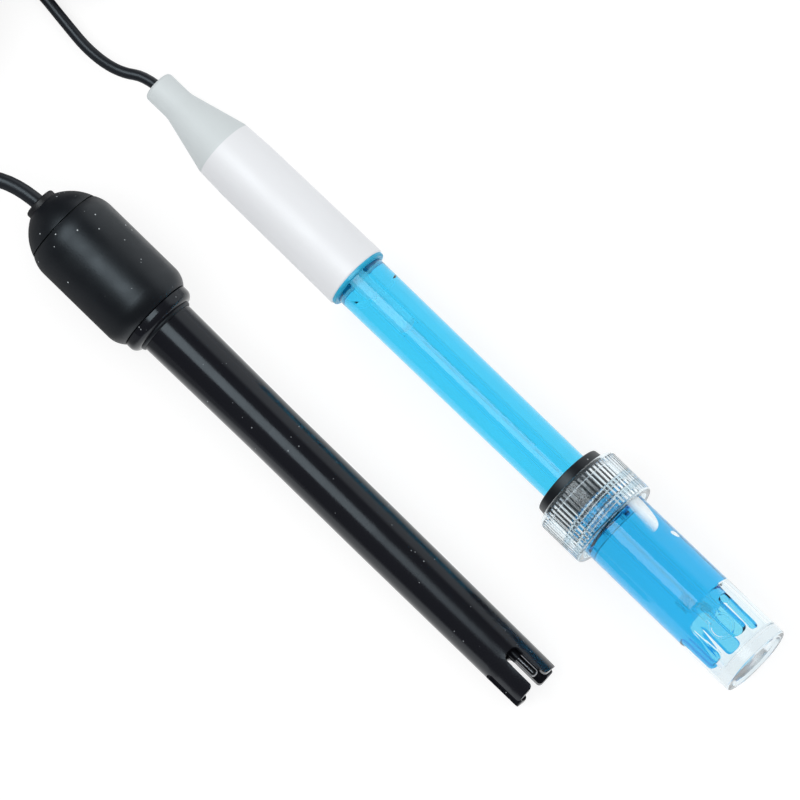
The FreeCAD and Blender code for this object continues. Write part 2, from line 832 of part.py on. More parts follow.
def ec_collar():
    """The glossy ring under the grip, with a seam above it and a rounded lower edge."""
    bore = dim.ec_tube_top_radius + dim.glue_gap
    return turned("ec_collar", [
        (bore, dim.sleeve_end),
        (dim.collar_radius - dim.collar_step, dim.sleeve_end),
        (dim.collar_radius, dim.sleeve_end + dim.collar_step),
        (dim.collar_radius, dim.collar_end - dim.collar_round, dim.collar_round),
        (dim.collar_radius - dim.collar_round, dim.collar_end),
        (bore, dim.collar_end),
    ])


def ec_lip_ring():
    bore = dim.ec_tube_top_radius + dim.glue_gap
    bulge = dim.lip_ring_radius - bore
    return turned("ec_lip_ring", [
        (bore, dim.collar_end),
        (dim.lip_ring_radius, dim.collar_end, dim.lip_ring_end - dim.collar_end),
        (dim.lip_ring_radius - bulge * 0.5, dim.lip_ring_end),
        (bore, dim.lip_ring_end),
    ])


def ec_tube():
    body = turned("ec_tube", [
        (dim.ec_tube_bore, dim.ec_tube_start),
        (dim.ec_tube_top_radius, dim.ec_tube_start),
        (dim.ec_tube_top_radius, dim.lip_ring_end),
        (dim.ec_clamp_radius, dim.ec_clamp_start),
        (dim.ec_clamp_radius, dim.ec_clamp_end),
        (dim.ec_tube_tip_radius, dim.ec_tube_end),
        (dim.ec_tube_bore, dim.ec_tube_end),
    ])
    castellate(body, dim.ec_slot_half_width, dim.ec_slot_root, dim.ec_tube_end,
               dim.ec_slot_corner, dim.ec_prong_round)
    return body


def ec_cell_body():
    """The moulded plug that closes the tube's end, with a boss round each electrode."""
    body = turned("ec_cell_body", [
        (dim.thermistor_radius, dim.cell_start),
        (dim.ec_tube_bore - dim.glue_gap, dim.cell_start),
        (dim.ec_tube_bore - dim.glue_gap, dim.cell_end),
        (0, dim.cell_end),
        (0, dim.thermistor_end),
        (dim.thermistor_radius, dim.thermistor_end),
    ])
    sketch = sketch_on(body, "XY_Plane", "ec_boss_outline")
    circle(sketch, dim.cell_pin_offset, 0, dim.cell_boss_radius)
    sketch.AttachmentOffset = FreeCAD.Placement(
        FreeCAD.Vector(0, 0, dim.cell_end.value), FreeCAD.Rotation())
    sketch.setExpression("AttachmentOffset.Base.z", dim.cell_end.text)
    boss = body.newObject("PartDesign::Pad", "ec_boss")
    boss.Profile = sketch
    boss.setExpression("Length", (dim.cell_boss_end - dim.cell_end).text)
    doc.recompute()
    repeat_round(body, boss, 2)
    hole = cut(body, "XY_Plane", (dim.cell_pin_offset, 0, dim.cell_pin_radius), "ec_pin_hole", flip=True)
    repeat_round(body, hole, 2)
    return body


def ec_cell_pins():
    return rods_round("ec_cell_pins", dim.cell_pin_radius, dim.cell_pin_start, dim.cell_pin_end,
                      dim.cell_pin_offset, 2, round_end=True)


def ec_thermistor():
    return rod("ec_thermistor", dim.thermistor_radius, dim.cell_pin_start, dim.thermistor_end)


def ec_lead_wires():
    return rods_round("ec_lead_wires", dim.lead_radius, dim.lead_start,
                      dim.cell_pin_start - 0.3, dim.lead_offset, 3)


def ec_potting():
    return turned("ec_potting", [
        (0, dim.potting_start),
        (dim.sleeve_cavity_radius, dim.potting_start),
        (dim.sleeve_cavity_radius, dim.sleeve_cavity_end),
        (dim.ec_tube_bore - dim.glue_gap, dim.sleeve_cavity_end),
        (dim.ec_tube_bore - dim.glue_gap, dim.potting_end),
        (0, dim.potting_end),
    ])


def ec_cord_core():
    return rod("ec_cord_core", dim.ec_cord_radius, EC_CORD_START[0], dim.potting_start)


# ---------------------------------------------------------------- cords, coils and ties


def cord_coil(label, cord_radius, middle, layers, height):
    """The outer shape of a wound coil: a ring whose section is so many turns wide and high."""
    half = cord_radius * layers
    inner, outer = middle - half, middle + half
    floor = dim.tie_thickness
    body = turned(label, [
        (inner, floor),
        (outer, floor),
        (outer, floor + cord_radius * 2 * height),
        (inner, floor + cord_radius * 2 * height),
    ])
    rings = [(r, z) for r in (inner, outer) for z in (floor, floor + cord_radius * 2 * height)]
    dress(body, "Chamfer", dim.coil_chamfer, rings)
    return body


def cord_tie(label, cord_radius, middle, layers, height):
    """A strap once round the coil's turns: a short stretch of a hollow ring."""
    half, strap = cord_radius * layers, dim.tie_thickness
    inner, outer = middle - half, middle + half
    top = strap + cord_radius * 2 * height
    return turned(
        label,
        [(inner - strap, 0), (outer + strap, 0), (outer + strap, top + strap), (inner - strap, top + strap)],
        [(inner, strap), (outer, strap), (outer, top), (inner, top)],
        angle=dim.tie_angle,
    )


def cord_path(label, route, diameter):
    """Straight runs joined by tangent arcs, each arc as large as its two runs allow."""
    points = [FreeCAD.Vector(*p) for p in route]
    print(f"{label} in metres:", [[round(x / 1000, 6) for x in p] for p in points])
    edges, radii, here = [], [], points[0]
    for before, corner, after in zip(points, points[1:], points[2:]):
        back, ahead = (before - corner), (after - corner)
        shorter = min(back.Length, ahead.Length)
        back.normalize()
        ahead.normalize()
        half_turn = (math.pi - back.getAngle(ahead)) / 2
        reach = 0.45 * shorter
        radii.append(reach / math.tan(half_turn))
        start, stop = corner + back * reach, corner + ahead * reach
        toward = (back + ahead).normalize()
        middle = corner + toward * (radii[-1] / math.cos(half_turn) - radii[-1])
        edges.append(Part.LineSegment(here, start).toShape())
        edges.append(Part.Arc(start, middle, stop).toShape())
        here = stop
    edges.append(Part.LineSegment(here, points[-1]).toShape())
    length = sum(edge.Length for edge in edges)
    shown = ", ".join(f"{r / diameter:.1f}" for r in radii)
    print(f"{label}: length {length:.1f} mm, arc radii in diameters {shown}")
    return Part.Wire(edges), length


def cord(label, route, radius, coil):
    """A round cord swept along its route and trimmed where it joins its coil."""
    wire, length = cord_path(label, route, radius * 2)
    first = wire.Edges[0]
    section = Part.Wire(Part.Circle(first.Vertexes[0].Point, first.tangentAt(0), radius).toShape())
    tube = wire.makePipeShell([section], True, False)
    expected = math.pi * radius**2 * length
    if abs(tube.Volume - expected) > 0.01 * expected:
        raise ValueError(f"{label}: the sweep's volume isn't its section times its length")
    free = sorted(tube.cut(coil).Solids, key=lambda s: s.Volume)
    feature = doc.addObject("Part::Feature", label)
    feature.Shape = free[-1]
    return feature


# ---------------------------------------------------------------- bayonet connector of the pH cord


def bnc_boot():
    bore = dim.ph_cord_radius + dim.cord_hole_gap
    return turned("bnc_boot", [
        (bore, 0),
        (dim.boot_back_radius, 0),
        (dim.boot_waist_radius, dim.boot_waist),
        (dim.boot_front_radius, dim.boot_waist + 3),
        (dim.boot_front_radius, dim.boot_end),
        (dim.boot_cavity_radius, dim.boot_end),
        (dim.boot_cavity_radius, dim.boot_waist),
        (bore, dim.boot_waist),
    ])


def bnc_ferrule():
    bore = dim.ph_cord_radius + dim.cord_hole_gap
    return turned("bnc_ferrule", [
        (bore, dim.ferrule_start),
        (dim.ferrule_radius, dim.ferrule_start),
        (dim.ferrule_radius, dim.boot_end),
        (bore, dim.boot_end),
    ])


def bnc_body():
    """The plug's metal body: a collar with two flats behind the ring, a thin barrel inside it."""
    body = turned("bnc_body", [
        (dim.bnc_pin_radius + dim.cord_hole_gap, dim.boot_end),
        (dim.bnc_body_radius, dim.boot_end),
        (dim.bnc_body_radius, dim.bnc_collar_end),
        (dim.bnc_barrel_radius, dim.bnc_collar_end),
        (dim.bnc_barrel_radius, dim.bnc_barrel_end),
        (dim.bnc_barrel_bore, dim.bnc_barrel_end),
        (dim.bnc_barrel_bore, dim.bnc_collar_end),
        (dim.bnc_pin_radius + dim.cord_hole_gap, dim.bnc_collar_end),
    ])
    flat, over = dim.bnc_body_radius - 0.5, dim.bnc_body_radius + 1
    slot = cut(body, "XZ_Plane", [
        (flat, dim.boot_end + 0.8),
        (over, dim.boot_end + 0.8),
        (over, dim.bnc_collar_end - 0.8),
        (flat, dim.bnc_collar_end - 0.8),
    ], "bnc_wrench_flat", both=True)
    repeat_round(body, slot, 2)
    return body


def bnc_coupling_ring():
    """The bayonet ring: two entry grooves in its bore end at two round lock holes."""
    body = turned("bnc_coupling_ring", [
        (dim.ring_hole, dim.ring_start),
        (dim.ring_radius - 0.5, dim.ring_start),
        (dim.ring_radius, dim.ring_start + 0.5),
        (dim.ring_radius, dim.ring_grip_end),
        (dim.ring_radius - 0.45, dim.ring_grip_end + 0.45),
        (dim.ring_radius - 0.45, dim.ring_end - 0.4),
        (dim.ring_radius - 0.85, dim.ring_end),
        (dim.ring_bore, dim.ring_end),
        (dim.ring_bore, dim.ring_wall_end),
        (dim.ring_hole, dim.ring_wall_end),
    ])
    half = dim.ring_groove_half_width
    groove = sketch_on(body, "XY_Plane", "bnc_entry_outline")
    draw(groove, [(-dim.ring_groove, -half), (dim.ring_groove, -half),
                  (dim.ring_groove, half), (-dim.ring_groove, half)])
    groove.setExpression("AttachmentOffset.Base.z", dim.ring_end.text)
    entry = body.newObject("PartDesign::Pocket", "bnc_entry_grooves")
    entry.Profile = groove
    entry.setExpression("Length", dim.ring_groove_depth.text)
    doc.recompute()
    cut(body, "YZ_Plane", (0, dim.ring_lock_height, dim.ring_lock_radius), "bnc_lock_holes", both=True)
    flutes(body, "bnc_ring_grip", dim.ring_radius, dim.ring_flute_depth, dim.ring_flutes,
           dim.ring_start + 0.5, dim.ring_grip_end)
    return body


def bnc_insulator():
    return turned("bnc_insulator", [
        (dim.bnc_pin_radius, dim.bnc_collar_end),
        (dim.bnc_barrel_bore - dim.glue_gap, dim.bnc_collar_end),
        (dim.bnc_barrel_bore - dim.glue_gap, dim.insulator_step),
        (dim.insulator_nose_radius, dim.insulator_step),
        (dim.insulator_nose_radius, dim.insulator_end),
        (dim.bnc_pin_radius, dim.insulator_end),
    ])


def bnc_pin():
    return turned("bnc_pin", [
        (0, dim.boot_end),
        (dim.bnc_pin_radius, dim.boot_end),
        (dim.bnc_pin_radius, dim.bnc_pin_end - 0.6),
        (dim.bnc_pin_radius * 0.5, dim.bnc_pin_end),
        (0, dim.bnc_pin_end),
    ])


def bnc_cord_core():
    return rod("bnc_cord_core", dim.ph_cord_radius, PH_TAIL_END[1], dim.boot_end)


# ---------------------------------------------------------------- screw-ring connector


def ec_plug_boot():
    bore = dim.ec_cord_radius + dim.cord_hole_gap
    return turned("ec_plug_boot", [
        (bore, 0),
        (dim.plug_boot_back_radius, 0),
        (dim.plug_boot_waist_radius, dim.plug_boot_waist),
        (dim.plug_boot_front_radius, dim.plug_boot_waist + 2),
        (dim.plug_boot_front_radius, dim.plug_boot_end),
        (bore, dim.plug_boot_end),
    ])


def ec_plug_body():
    return turned("ec_plug_body", [
        (0, dim.plug_boot_end),
        (dim.plug_body_radius - 0.6, dim.plug_boot_end),
        (dim.plug_body_radius, dim.plug_boot_end + 0.6),
        (dim.plug_body_radius, dim.plug_body_end),
        (dim.plug_spigot_radius, dim.plug_body_end),
        (dim.plug_spigot_radius, dim.plug_spigot_end),
        (dim.plug_body_bore, dim.plug_spigot_end),
        (dim.plug_body_bore, dim.plug_body_end),
        (0, dim.plug_body_end),
    ])


def ec_plug_nut():
    body = turned("ec_plug_nut", [
        (dim.nut_hole, dim.nut_start),
        (dim.nut_radius - 0.6, dim.nut_start),
        (dim.nut_radius, dim.nut_start + 0.6),
        (dim.nut_radius, dim.nut_end - 0.6),
        (dim.nut_radius - 0.6, dim.nut_end),
        (dim.nut_bore, dim.nut_end),
        (dim.nut_bore, dim.nut_wall_end),
        (dim.nut_hole, dim.nut_wall_end),
    ])
    flutes(body, "ec_nut_grip", dim.nut_radius, dim.nut_flute_depth, dim.nut_flutes,
           dim.nut_start + 0.6, dim.nut_end - 0.6)
    return body


def ec_plug_insert():
    body = turned("ec_plug_insert", [
        (0, dim.plug_body_end),
        (dim.plug_body_bore - dim.glue_gap, dim.plug_body_end),
        (dim.plug_body_bore - dim.glue_gap, dim.plug_insert_end),
        (0, dim.plug_insert_end),
    ])
    hole = cut(body, "XY_Plane", (dim.plug_pin_offset, 0, dim.plug_pin_radius), "ec_contact_hole",
               flip=True)
    repeat_round(body, hole, dim.plug_pin_count)
    return body


def ec_plug_pins():
    return rods_round("ec_plug_pins", dim.plug_pin_radius, dim.plug_body_end, dim.plug_pin_end,
                      dim.plug_pin_offset, dim.plug_pin_count)


def ec_plug_cord_core():
    return rod("ec_plug_cord_core", dim.ec_cord_radius, EC_TAIL_END[1], dim.plug_boot_end)


# ---------------------------------------------------------------- laying the pieces down


def lying(along, across, height, rise, heading=0.0):
    """Lays a piece's local Z axis along the bench, rising by an angle towards its far end."""
    lay = FreeCAD.Rotation(FreeCAD.Vector(0, 1, 0), 90 - rise)
    return FreeCAD.Placement(FreeCAD.Vector(along, across, height), spun(heading) * lay)


def resting_height(radius, rise):
    """The height of a cone-backed plug's axis at its back end, which touches the bench."""
    return radius * math.cos(math.radians(rise))


def bench_places():
    """Where each group of pieces lies: the two probes, the two connectors and the two coils."""
    values = SIZES
    bnc_height = resting_height(values["boot_back_radius"], values["bnc_rise"])
    plug_height = resting_height(values["plug_boot_back_radius"], values["plug_rise"])
    return {
        "ph": lying(values["ph_end_along"], values["ph_across"], values["ph_end_height"], values["ph_rise"]),
        "ec": lying(values["ec_end_along"], values["ec_across"], values["ec_end_height"],
                    values["ec_rise"], values["ec_heading"]),
        "bnc": lying(values["bnc_along"], values["bnc_across"], bnc_height, values["bnc_rise"],
                     values["bnc_heading"]),
        "plug": lying(values["plug_along"], values["plug_across"], plug_height, values["plug_rise"],
                      values["plug_heading"]),
        "ph_coil": on_bench(values["ph_coil_along"], values["ph_coil_across"]),
        "ec_coil": on_bench(values["ec_coil_along"], values["ec_coil_across"]),
    }


def on_bench(along, across):
    return FreeCAD.Placement(FreeCAD.Vector(along, across, 0), spun(SIZES["tie_bearing"]))


def spun(angle):
    return FreeCAD.Rotation(FreeCAD.Vector(0, 0, 1), angle)


def group_of(name):
    """Which group of bench_places a piece belongs to."""
    if name.startswith("bnc_"):
        return "bnc"
    if name.startswith("ec_plug_"):
        return "plug"
    kind = "ec" if name.startswith("ec_") else "ph"
    return f"{kind}_coil" if name.endswith(("_coil", "_tie")) else kind


def place_all(pieces, places):
    spins = {
        "ph_tube": SIZES["ph_guard_spin"],
        "storage_solution": SIZES["pocket_spin"],
        "ec_tube": SIZES["ec_guard_spin"],
        "ec_cell_body": SIZES["cell_pin_spin"],
        "ec_cell_pins": SIZES["cell_pin_spin"],
    }
    for piece in pieces:
        roll = FreeCAD.Placement(FreeCAD.Vector(), spun(spins.get(piece.Label, 0.0)))
        piece.Placement = places[group_of(piece.Label)] * roll * piece.Placement


PIECES = (
    ph_strain_relief, ph_barrel, ph_potting, ph_tube, ph_head_plug, ph_tip_plug, ph_junction,
    ph_stem, ph_bulb, ph_stem_fill, ph_reference_gel, ph_inner_wire, ph_reference_wire,
    ph_cord_core,
    storage_seal, storage_cap, storage_bottle, storage_solution,
    ec_gland, ec_dome_cap, ec_grip_sleeve, ec_collar, ec_lip_ring, ec_tube, ec_cell_body,
    ec_cell_pins, ec_thermistor, ec_lead_wires, ec_potting, ec_cord_core,
    bnc_boot, bnc_ferrule, bnc_body, bnc_coupling_ring, bnc_insulator, bnc_pin, bnc_cord_core,
    ec_plug_boot, ec_plug_body, ec_plug_nut, ec_plug_insert, ec_plug_pins, ec_plug_cord_core,
)


def wound_cord(kind):
    """The coil and the tie of one cord."""
    values = (getattr(dim, f"{kind}_cord_radius"), getattr(dim, f"{kind}_coil_middle"),
              SIZES[f"{kind}_coil_layers"], SIZES[f"{kind}_coil_height"])
    return [cord_coil(f"{kind}_cord_coil", *values), cord_tie(f"{kind}_cord_tie", *values)]


def free_cords(pieces, places):
    """The lengths of cord between the probes, the coils and the connectors."""
    coils = {piece.Label[:2]: piece.Shape for piece in pieces if piece.Label.endswith("_coil")}
    ph_radius, ec_radius = SIZES["ph_cord_radius"], SIZES["ec_cord_radius"]
    ph_start = on_axis(places["ph"], PH_CORD_START)
    ec_start = on_axis(places["ec"], EC_CORD_START)
    ph_end = on_axis(places["bnc"], PH_TAIL_END)
    ec_end = on_axis(places["plug"], EC_TAIL_END)
    return [
        cord("ph_cord", ph_start + PH_CORD_PLACES, ph_radius, coils["ph"]),
        cord("ph_cord_tail", PH_TAIL_PLACES + ph_end, ph_radius, coils["ph"]),
        cord("ec_cord", ec_start + EC_CORD_PLACES, ec_radius, coils["ec"]),
        cord("ec_cord_tail", EC_TAIL_PLACES + ec_end, ec_radius, coils["ec"]),
    ]


def on_axis(place, heights):
    return [tuple(place.multVec(FreeCAD.Vector(0, 0, height))) for height in heights]


def bound_placements(pieces):
    """Part primitives take their own offset through the sheet; it is frozen before they are laid."""
    doc.recompute()
    for piece in pieces:
        if piece.TypeId == "Part::Cylinder":
            for path in ("Placement.Base.x", "Placement.Base.z"):
                piece.setExpression(path, None)


def check(pieces):
    doc.recompute()
    for item in doc.Objects:
        if "Invalid" in item.State or "Error" in item.State:
            raise ValueError(f"{item.Label} failed: {item.State}")
    for piece in pieces:
        if piece.Shape.isNull() or not piece.Shape.isValid():
            raise ValueError(f"{piece.Label} has no valid shape")


def report(pieces):
    own = [p for p in pieces if not any(w in p.Label for w in ("cord", "bnc_", "ec_plug_"))]
    boxes = [p.Shape.optimalBoundingBox(True, False) for p in own]
    low = [min(getattr(b, side) for b in boxes) for side in ("XMin", "YMin", "ZMin")]
    high = [max(getattr(b, side) for b in boxes) for side in ("XMax", "YMax", "ZMax")]
    print("probes' box", [round(x, 3) for x in low], [round(x, 3) for x in high])
    for piece in pieces:
        box = piece.Shape.optimalBoundingBox(True, False)
        print(f"{piece.Label}: solids {len(piece.Shape.Solids)}, lowest {box.ZMin:.3f}")


doc = FreeCAD.newDocument("probe_set")
fill_sheet()
pieces = [make() for make in PIECES] + wound_cord("ph") + wound_cord("ec")
places = bench_places()
bound_placements(pieces)
place_all(pieces, places)
doc.recompute()
pieces += free_cords(pieces, places)
check(pieces)
report(pieces)
os.makedirs("parts", exist_ok=True)
for piece in pieces:
    piece.Shape.exportStep(f"parts/{piece.Label}.step")
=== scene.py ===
import bmesh
import bpy
import json
import math
from mathutils import Matrix, Vector


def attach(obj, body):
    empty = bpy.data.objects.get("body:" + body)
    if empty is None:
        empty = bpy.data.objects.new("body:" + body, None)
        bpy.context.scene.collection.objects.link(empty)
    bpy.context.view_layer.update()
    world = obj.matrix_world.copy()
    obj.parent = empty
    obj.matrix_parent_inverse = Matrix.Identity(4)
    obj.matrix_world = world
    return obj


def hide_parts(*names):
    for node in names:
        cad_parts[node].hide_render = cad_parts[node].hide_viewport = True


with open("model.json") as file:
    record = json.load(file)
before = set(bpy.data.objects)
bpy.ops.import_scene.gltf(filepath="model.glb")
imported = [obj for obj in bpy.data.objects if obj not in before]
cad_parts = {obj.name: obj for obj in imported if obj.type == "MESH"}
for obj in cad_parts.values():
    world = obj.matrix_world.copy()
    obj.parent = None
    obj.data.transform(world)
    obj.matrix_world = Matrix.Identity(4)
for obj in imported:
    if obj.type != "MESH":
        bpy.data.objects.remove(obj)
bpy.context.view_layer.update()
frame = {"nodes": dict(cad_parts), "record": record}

# A pH electrode in its storage bottle and a conductivity probe, lying side by side on a white
# table. The scene is in metres in the part's frame. Heights and radii are written in millimetres
# along and round the electrode's own axis, from its cord end as in the part's source, and turned
# into metres where they are used.

MM = 0.001
scene = bpy.context.scene
nodes = frame["nodes"]


def axis_frame(along, across, height, rise):
    """The matrix that lays a probe's own axis (local Z) on the table, rising towards its tip."""
    place = Matrix.Translation(Vector((along, across, height)) * MM)
    return place @ Matrix.Rotation(math.radians(90 - rise), 4, "Y")


PH = axis_frame(-88.27, 17.66, 6.239, 2.027)


# ---------------------------------------------------------------- camera

CAMERA_BEARING = -45.042
CAMERA_ELEVATION = 77.5
CAMERA_DISTANCE = 4.0
CAMERA_TARGET = Vector((-4.243, 5.482, 8.0)) * MM
FOCAL_PIXELS = 19182.0
PICTURE_PIXELS = 800
SENSOR = 36.0


def place_camera():
    bearing, elevation = math.radians(CAMERA_BEARING), math.radians(CAMERA_ELEVATION)
    away = Vector((math.cos(elevation) * math.cos(bearing),
                   math.cos(elevation) * math.sin(bearing), math.sin(elevation)))
    data = bpy.data.cameras.new("camera")
    data.sensor_width = SENSOR
    data.lens = SENSOR * FOCAL_PIXELS / PICTURE_PIXELS
    data.clip_start, data.clip_end = 0.1, 20
    camera = bpy.data.objects.new("camera", data)
    scene.collection.objects.link(camera)
    camera.location = CAMERA_TARGET + away * CAMERA_DISTANCE
    camera.rotation_euler = (-away).to_track_quat("-Z", "Y").to_euler()
    scene.camera = camera


place_camera()


# ---------------------------------------------------------------- shader helpers


class Shader:
    """The node tree of a material or of the world, built a node at a time. What a node gives is
    handed on as (node, output)."""

    def __init__(self, name, kept_in=bpy.data.materials):
        self.owner = kept_in.new(name)
        self.owner.use_nodes = True
        self.tree = self.owner.node_tree
        self.tree.nodes.clear()

    def feed(self, socket, value):
        """Links a socket to what a node gives, or sets it to a number or a colour."""
        if isinstance(value, tuple) and isinstance(value[0], bpy.types.Node):
            self.tree.links.new(value[0].outputs[value[1]], socket)
        else:
            socket.default_value = value

    def add(self, kind, values=None, **settings):
        node = self.tree.nodes.new("ShaderNode" + kind)
        for name, setting in settings.items():
            setattr(node, name, setting)
        for name, value in (values or {}).items():
            self.feed(node.inputs[name], value)
        return node

    def math(self, operation, one, two=0.0):
        return (self.add("Math", {0: one, 1: two}, operation=operation), 0)

    def place(self):
        """Where a point is in the part's frame at rest."""
        return (self.add("TexCoord"), "Object")

    def noise(self, scale, detail=3.0):
        node = self.add("TexNoise", {"Vector": self.place(), "Scale": scale, "Detail": detail,
                                     "Roughness": 0.5})
        return (node, "Fac")

    def span(self, value, low, high, from_low=0.0, from_high=1.0):
        """Maps a value from one range onto low to high, and keeps it between them."""
        node = self.add("MapRange", {"Value": value, "From Min": from_low, "From Max": from_high,
                                     "To Min": low, "To Max": high})
        return (node, "Result")

    def blend(self, factor, one, two):
        """Mixes two colours."""
        return (self.add("Mix", {"Factor": factor, 6: one, 7: two}, data_type="RGBA"), 2)

    def below(self, value, limit):
        """1 where the value is under a limit in mm."""
        return self.math("LESS_THAN", value, limit * MM)

    def above(self, value, limit):
        """1 where the value is over a limit in mm."""
        return self.math("GREATER_THAN", value, limit * MM)

    def between(self, value, low, high):
        return self.math("MULTIPLY", self.above(value, low), self.below(value, high))

    def both(self, *values):
        """The product of values from 0 to 1, so 1 where all of them are."""
        product = values[0]
        for value in values[1:]:
            product = self.math("MULTIPLY", product, value)
        return product

    def negate(self, value):
        """1 where a value is 0, and 0 where it is 1."""
        return self.math("SUBTRACT", 1.0, value)

    def mixed(self, factor, one, two):
        """Mixes two surfaces."""
        return (self.add("MixShader", {0: factor, 1: one, 2: two}), 0)

    def bump(self, height, distance):
        """Roughens the surface by a height map, with its depth in mm."""
        node = self.add("Bump", {"Height": height, "Distance": distance * MM, "Strength": 1.0})
        return (node, "Normal")

    def own_axes(self, matrix):
        """The probe's own coordinates, as a vector in metres."""
        where, turn, _ = matrix.decompose()
        node = self.add("Mapping", {"Vector": self.place(), "Location": where,
                                    "Rotation": turn.to_euler()}, vector_type="TEXTURE")
        return (node, "Vector")

    def axial(self, matrix):
        """(height along the probe's axis, distance from it), in metres."""
        parts = self.add("SeparateXYZ", {"Vector": self.own_axes(matrix)})
        across, aside = (self.math("POWER", (parts, k), 2.0) for k in (0, 1))
        return (parts, 2), self.math("SQRT", self.math("ADD", across, aside))

    def finish(self, surface, output="OutputMaterial"):
        self.add(output, {"Surface": surface})
        return self.owner


def shade(colour, factor):
    return tuple(min(1.0, c * factor) for c in colour[:3]) + (1.0,)


DUST = (0.6, 0.65, 0.68, 1)
DUST_SCALE = 520.0     # cells per metre, with one speck in each cell that is chosen
COOL = (0.85, 0.94, 1.0, 1)


def moulded(name, colour, roughness, grain=0.35, height=0.012, mottle=0.05, specks=0.0,
            shine=(1, 1, 1, 1), ior=1.45):
    """Moulded plastic or rubber: faint mottling, uneven gloss, a fine grain, specks of dust.
    The grain's width and height are in mm."""
    s = Shader(name)
    wide = s.span(s.noise(60.0, 4.0), 0.0, 1.0, 0.3, 0.7)
    fine = s.noise(1 / (grain * MM), 2.0)
    base = s.blend(wide, shade(colour, 1 - mottle), shade(colour, 1 + mottle))
    if specks:
        dust = s.add("TexVoronoi", {"Vector": s.place(), "Scale": DUST_SCALE, "Randomness": 1.0})
        dot = s.span((dust, "Distance"), 1.0, 0.0, 0.05, 0.10)
        chosen = s.math("GREATER_THAN", s.noise(330.0, 0.0), 0.52)
        base = s.blend(s.both(dot, chosen, specks), base, DUST)
    gloss = s.span(s.noise(180.0, 5.0), roughness * 0.85, roughness * 1.15, 0.3, 0.7)
    values = {"Base Color": base, "Roughness": gloss, "Normal": s.bump(fine, height),
              "Specular Tint": shine, "IOR": ior}
    return s.finish((s.add("BsdfPrincipled", values), 0))


def metal(name, colour, roughness):
    """Plated metal with a slight patina and an uneven gloss."""
    s = Shader(name)
    lines = s.noise(1500.0, 3.0)
    cloud = s.span(s.noise(90.0, 4.0), 0.0, 1.0, 0.3, 0.7)
    patina = s.blend(cloud, shade(colour, 0.88), shade(colour, 1.0))
    gloss = s.span(lines, roughness - 0.06, roughness + 0.08, 0.3, 0.7)
    body = s.add("BsdfPrincipled", {"Base Color": patina, "Metallic": 1.0, "Roughness": gloss,
                                    "Normal": s.bump(lines, 0.002)})
    return s.finish((body, 0))


# ---------------------------------------------------------------- materials


# The clear pieces that touch are seen as one body: where two of them are bonded, or wet, both
# surfaces are passed straight through, and light bends only where it meets air. The same index,
# 1.40, stands for the plastic, the gel and the solution, so that the steps in and out agree.
# Where a wall hardly bends light, it stands as thin.

BONDED_INDEX = 1.40
THIN_INDEX = 1.07

# Surfaces nearer the axis than these are the inner ones of the tube, the bottle and the stem.
TUBE_INSIDE, BOTTLE_INSIDE, STEM_INSIDE = 5.3, 7.6, 1.7
TUBE_START, TUBE_END, STEM_END = 46.0, 163.2, 163.0
FLANGE_END = 60.0                       # just past the tube's flange
GEL_AIR = (2.1, 4.78), (56.1, 70.0)     # the gel's bubble, as radii and heights
STEM_LEVEL = 75.4                       # of the filling in the glass stem
LIQUID_START = 128.95                   # at the seal's face in the bottle
POCKET_START = 160.2
BOTTLE_FLOOR = 173.3                    # just before the bottle's inner floor
FLOOR_FACE = 173.8                      # just past it
SEAL_FADE = 128.4, 130.2                # where the seal's shank ends under the cap's ribs

# The air pocket at the bottle's closed end is turned a little off the top. Its level, as (height
# above the axis, height along it) points in mm, has a steep start, a long slope and an end.
POCKET = PH @ Matrix.Rotation(math.radians(-24), 4, "Z")
SLOPE_START, SLOPE_END = (4.2, 161.7), (1.5, 171.6)
LEVEL = [(5.7, POCKET_START), (4.86, 160.5), (4.36, 161.1), SLOPE_START, SLOPE_END, (1.2, 173.4)]
LEVEL_SLOPE = (SLOPE_START[0] - SLOPE_END[0]) / (SLOPE_END[1] - SLOPE_START[1])

CLEAR_TINT = (0.97, 0.99, 1.0, 1)
TUBE_TINT = (0.062, 0.62, 0.93, 1)
WET_TINT = (0.038, 0.50, 0.87, 1)
FLANGE_TINT = (0.42, 0.86, 0.97, 1)
FLANGE_MATT = (0.03, 0.60, 0.94, 1)
CAP_TINT = (0.83, 0.90, 0.93, 1)
# The pale matt painted on the cap's rib flanks as painted reflection, and the most of it that a
# flank gets.
CAP_PAINTED_SHEEN = (0.80, 0.90, 0.96, 1)
CAP_PAINTED_SHEEN_MOST = 0.34       # the most that a rib's flank is matt
FLANGE_DULL = 0.6     # how much the flange is


def in_pocket(s):
    """1 in the bottle's air pocket, by the long slope of its level."""
    parts = s.add("SeparateXYZ", {"Vector": s.own_axes(POCKET)})
    slope = s.math("MULTIPLY", s.math("SUBTRACT", (parts, 2), SLOPE_START[1] * MM), LEVEL_SLOPE)
    over = s.math("LESS_THAN", (parts, 0), s.math("SUBTRACT", slope, SLOPE_START[0] * MM))
    return s.both(over, s.above((parts, 2), POCKET_START))


def wetted(s):
    """Where the storage solution stands against the tube and the bottle's wall."""
    height, _ = s.axial(PH)
    return s.both(s.above(height, LIQUID_START), s.negate(in_pocket(s)))


def tube_bonded(s):
    """The tube's bore, where the gel and the plug are bonded to it."""
    height, radius = s.axial(PH)
    return s.both(s.below(radius, TUBE_INSIDE), s.between(height, TUBE_START, TUBE_END))


def gel_bonded(s):
    """The gel's surface except the faces of its bubble."""
    height, radius = s.axial(PH)
    radii, heights = GEL_AIR
    return s.negate(s.both(s.between(radius, *radii), s.between(height, *heights)))


def fill_bonded(s):
    """The stem's filling except its level face."""
    height, _ = s.axial(PH)
    return s.above(height, STEM_LEVEL + 0.1)


def bottle_bonded(s):
    """The bottle's inner wall where it is wet."""
    height, radius = s.axial(PH)
    return s.both(s.below(radius, BOTTLE_INSIDE), s.below(height, FLOOR_FACE), wetted(s))


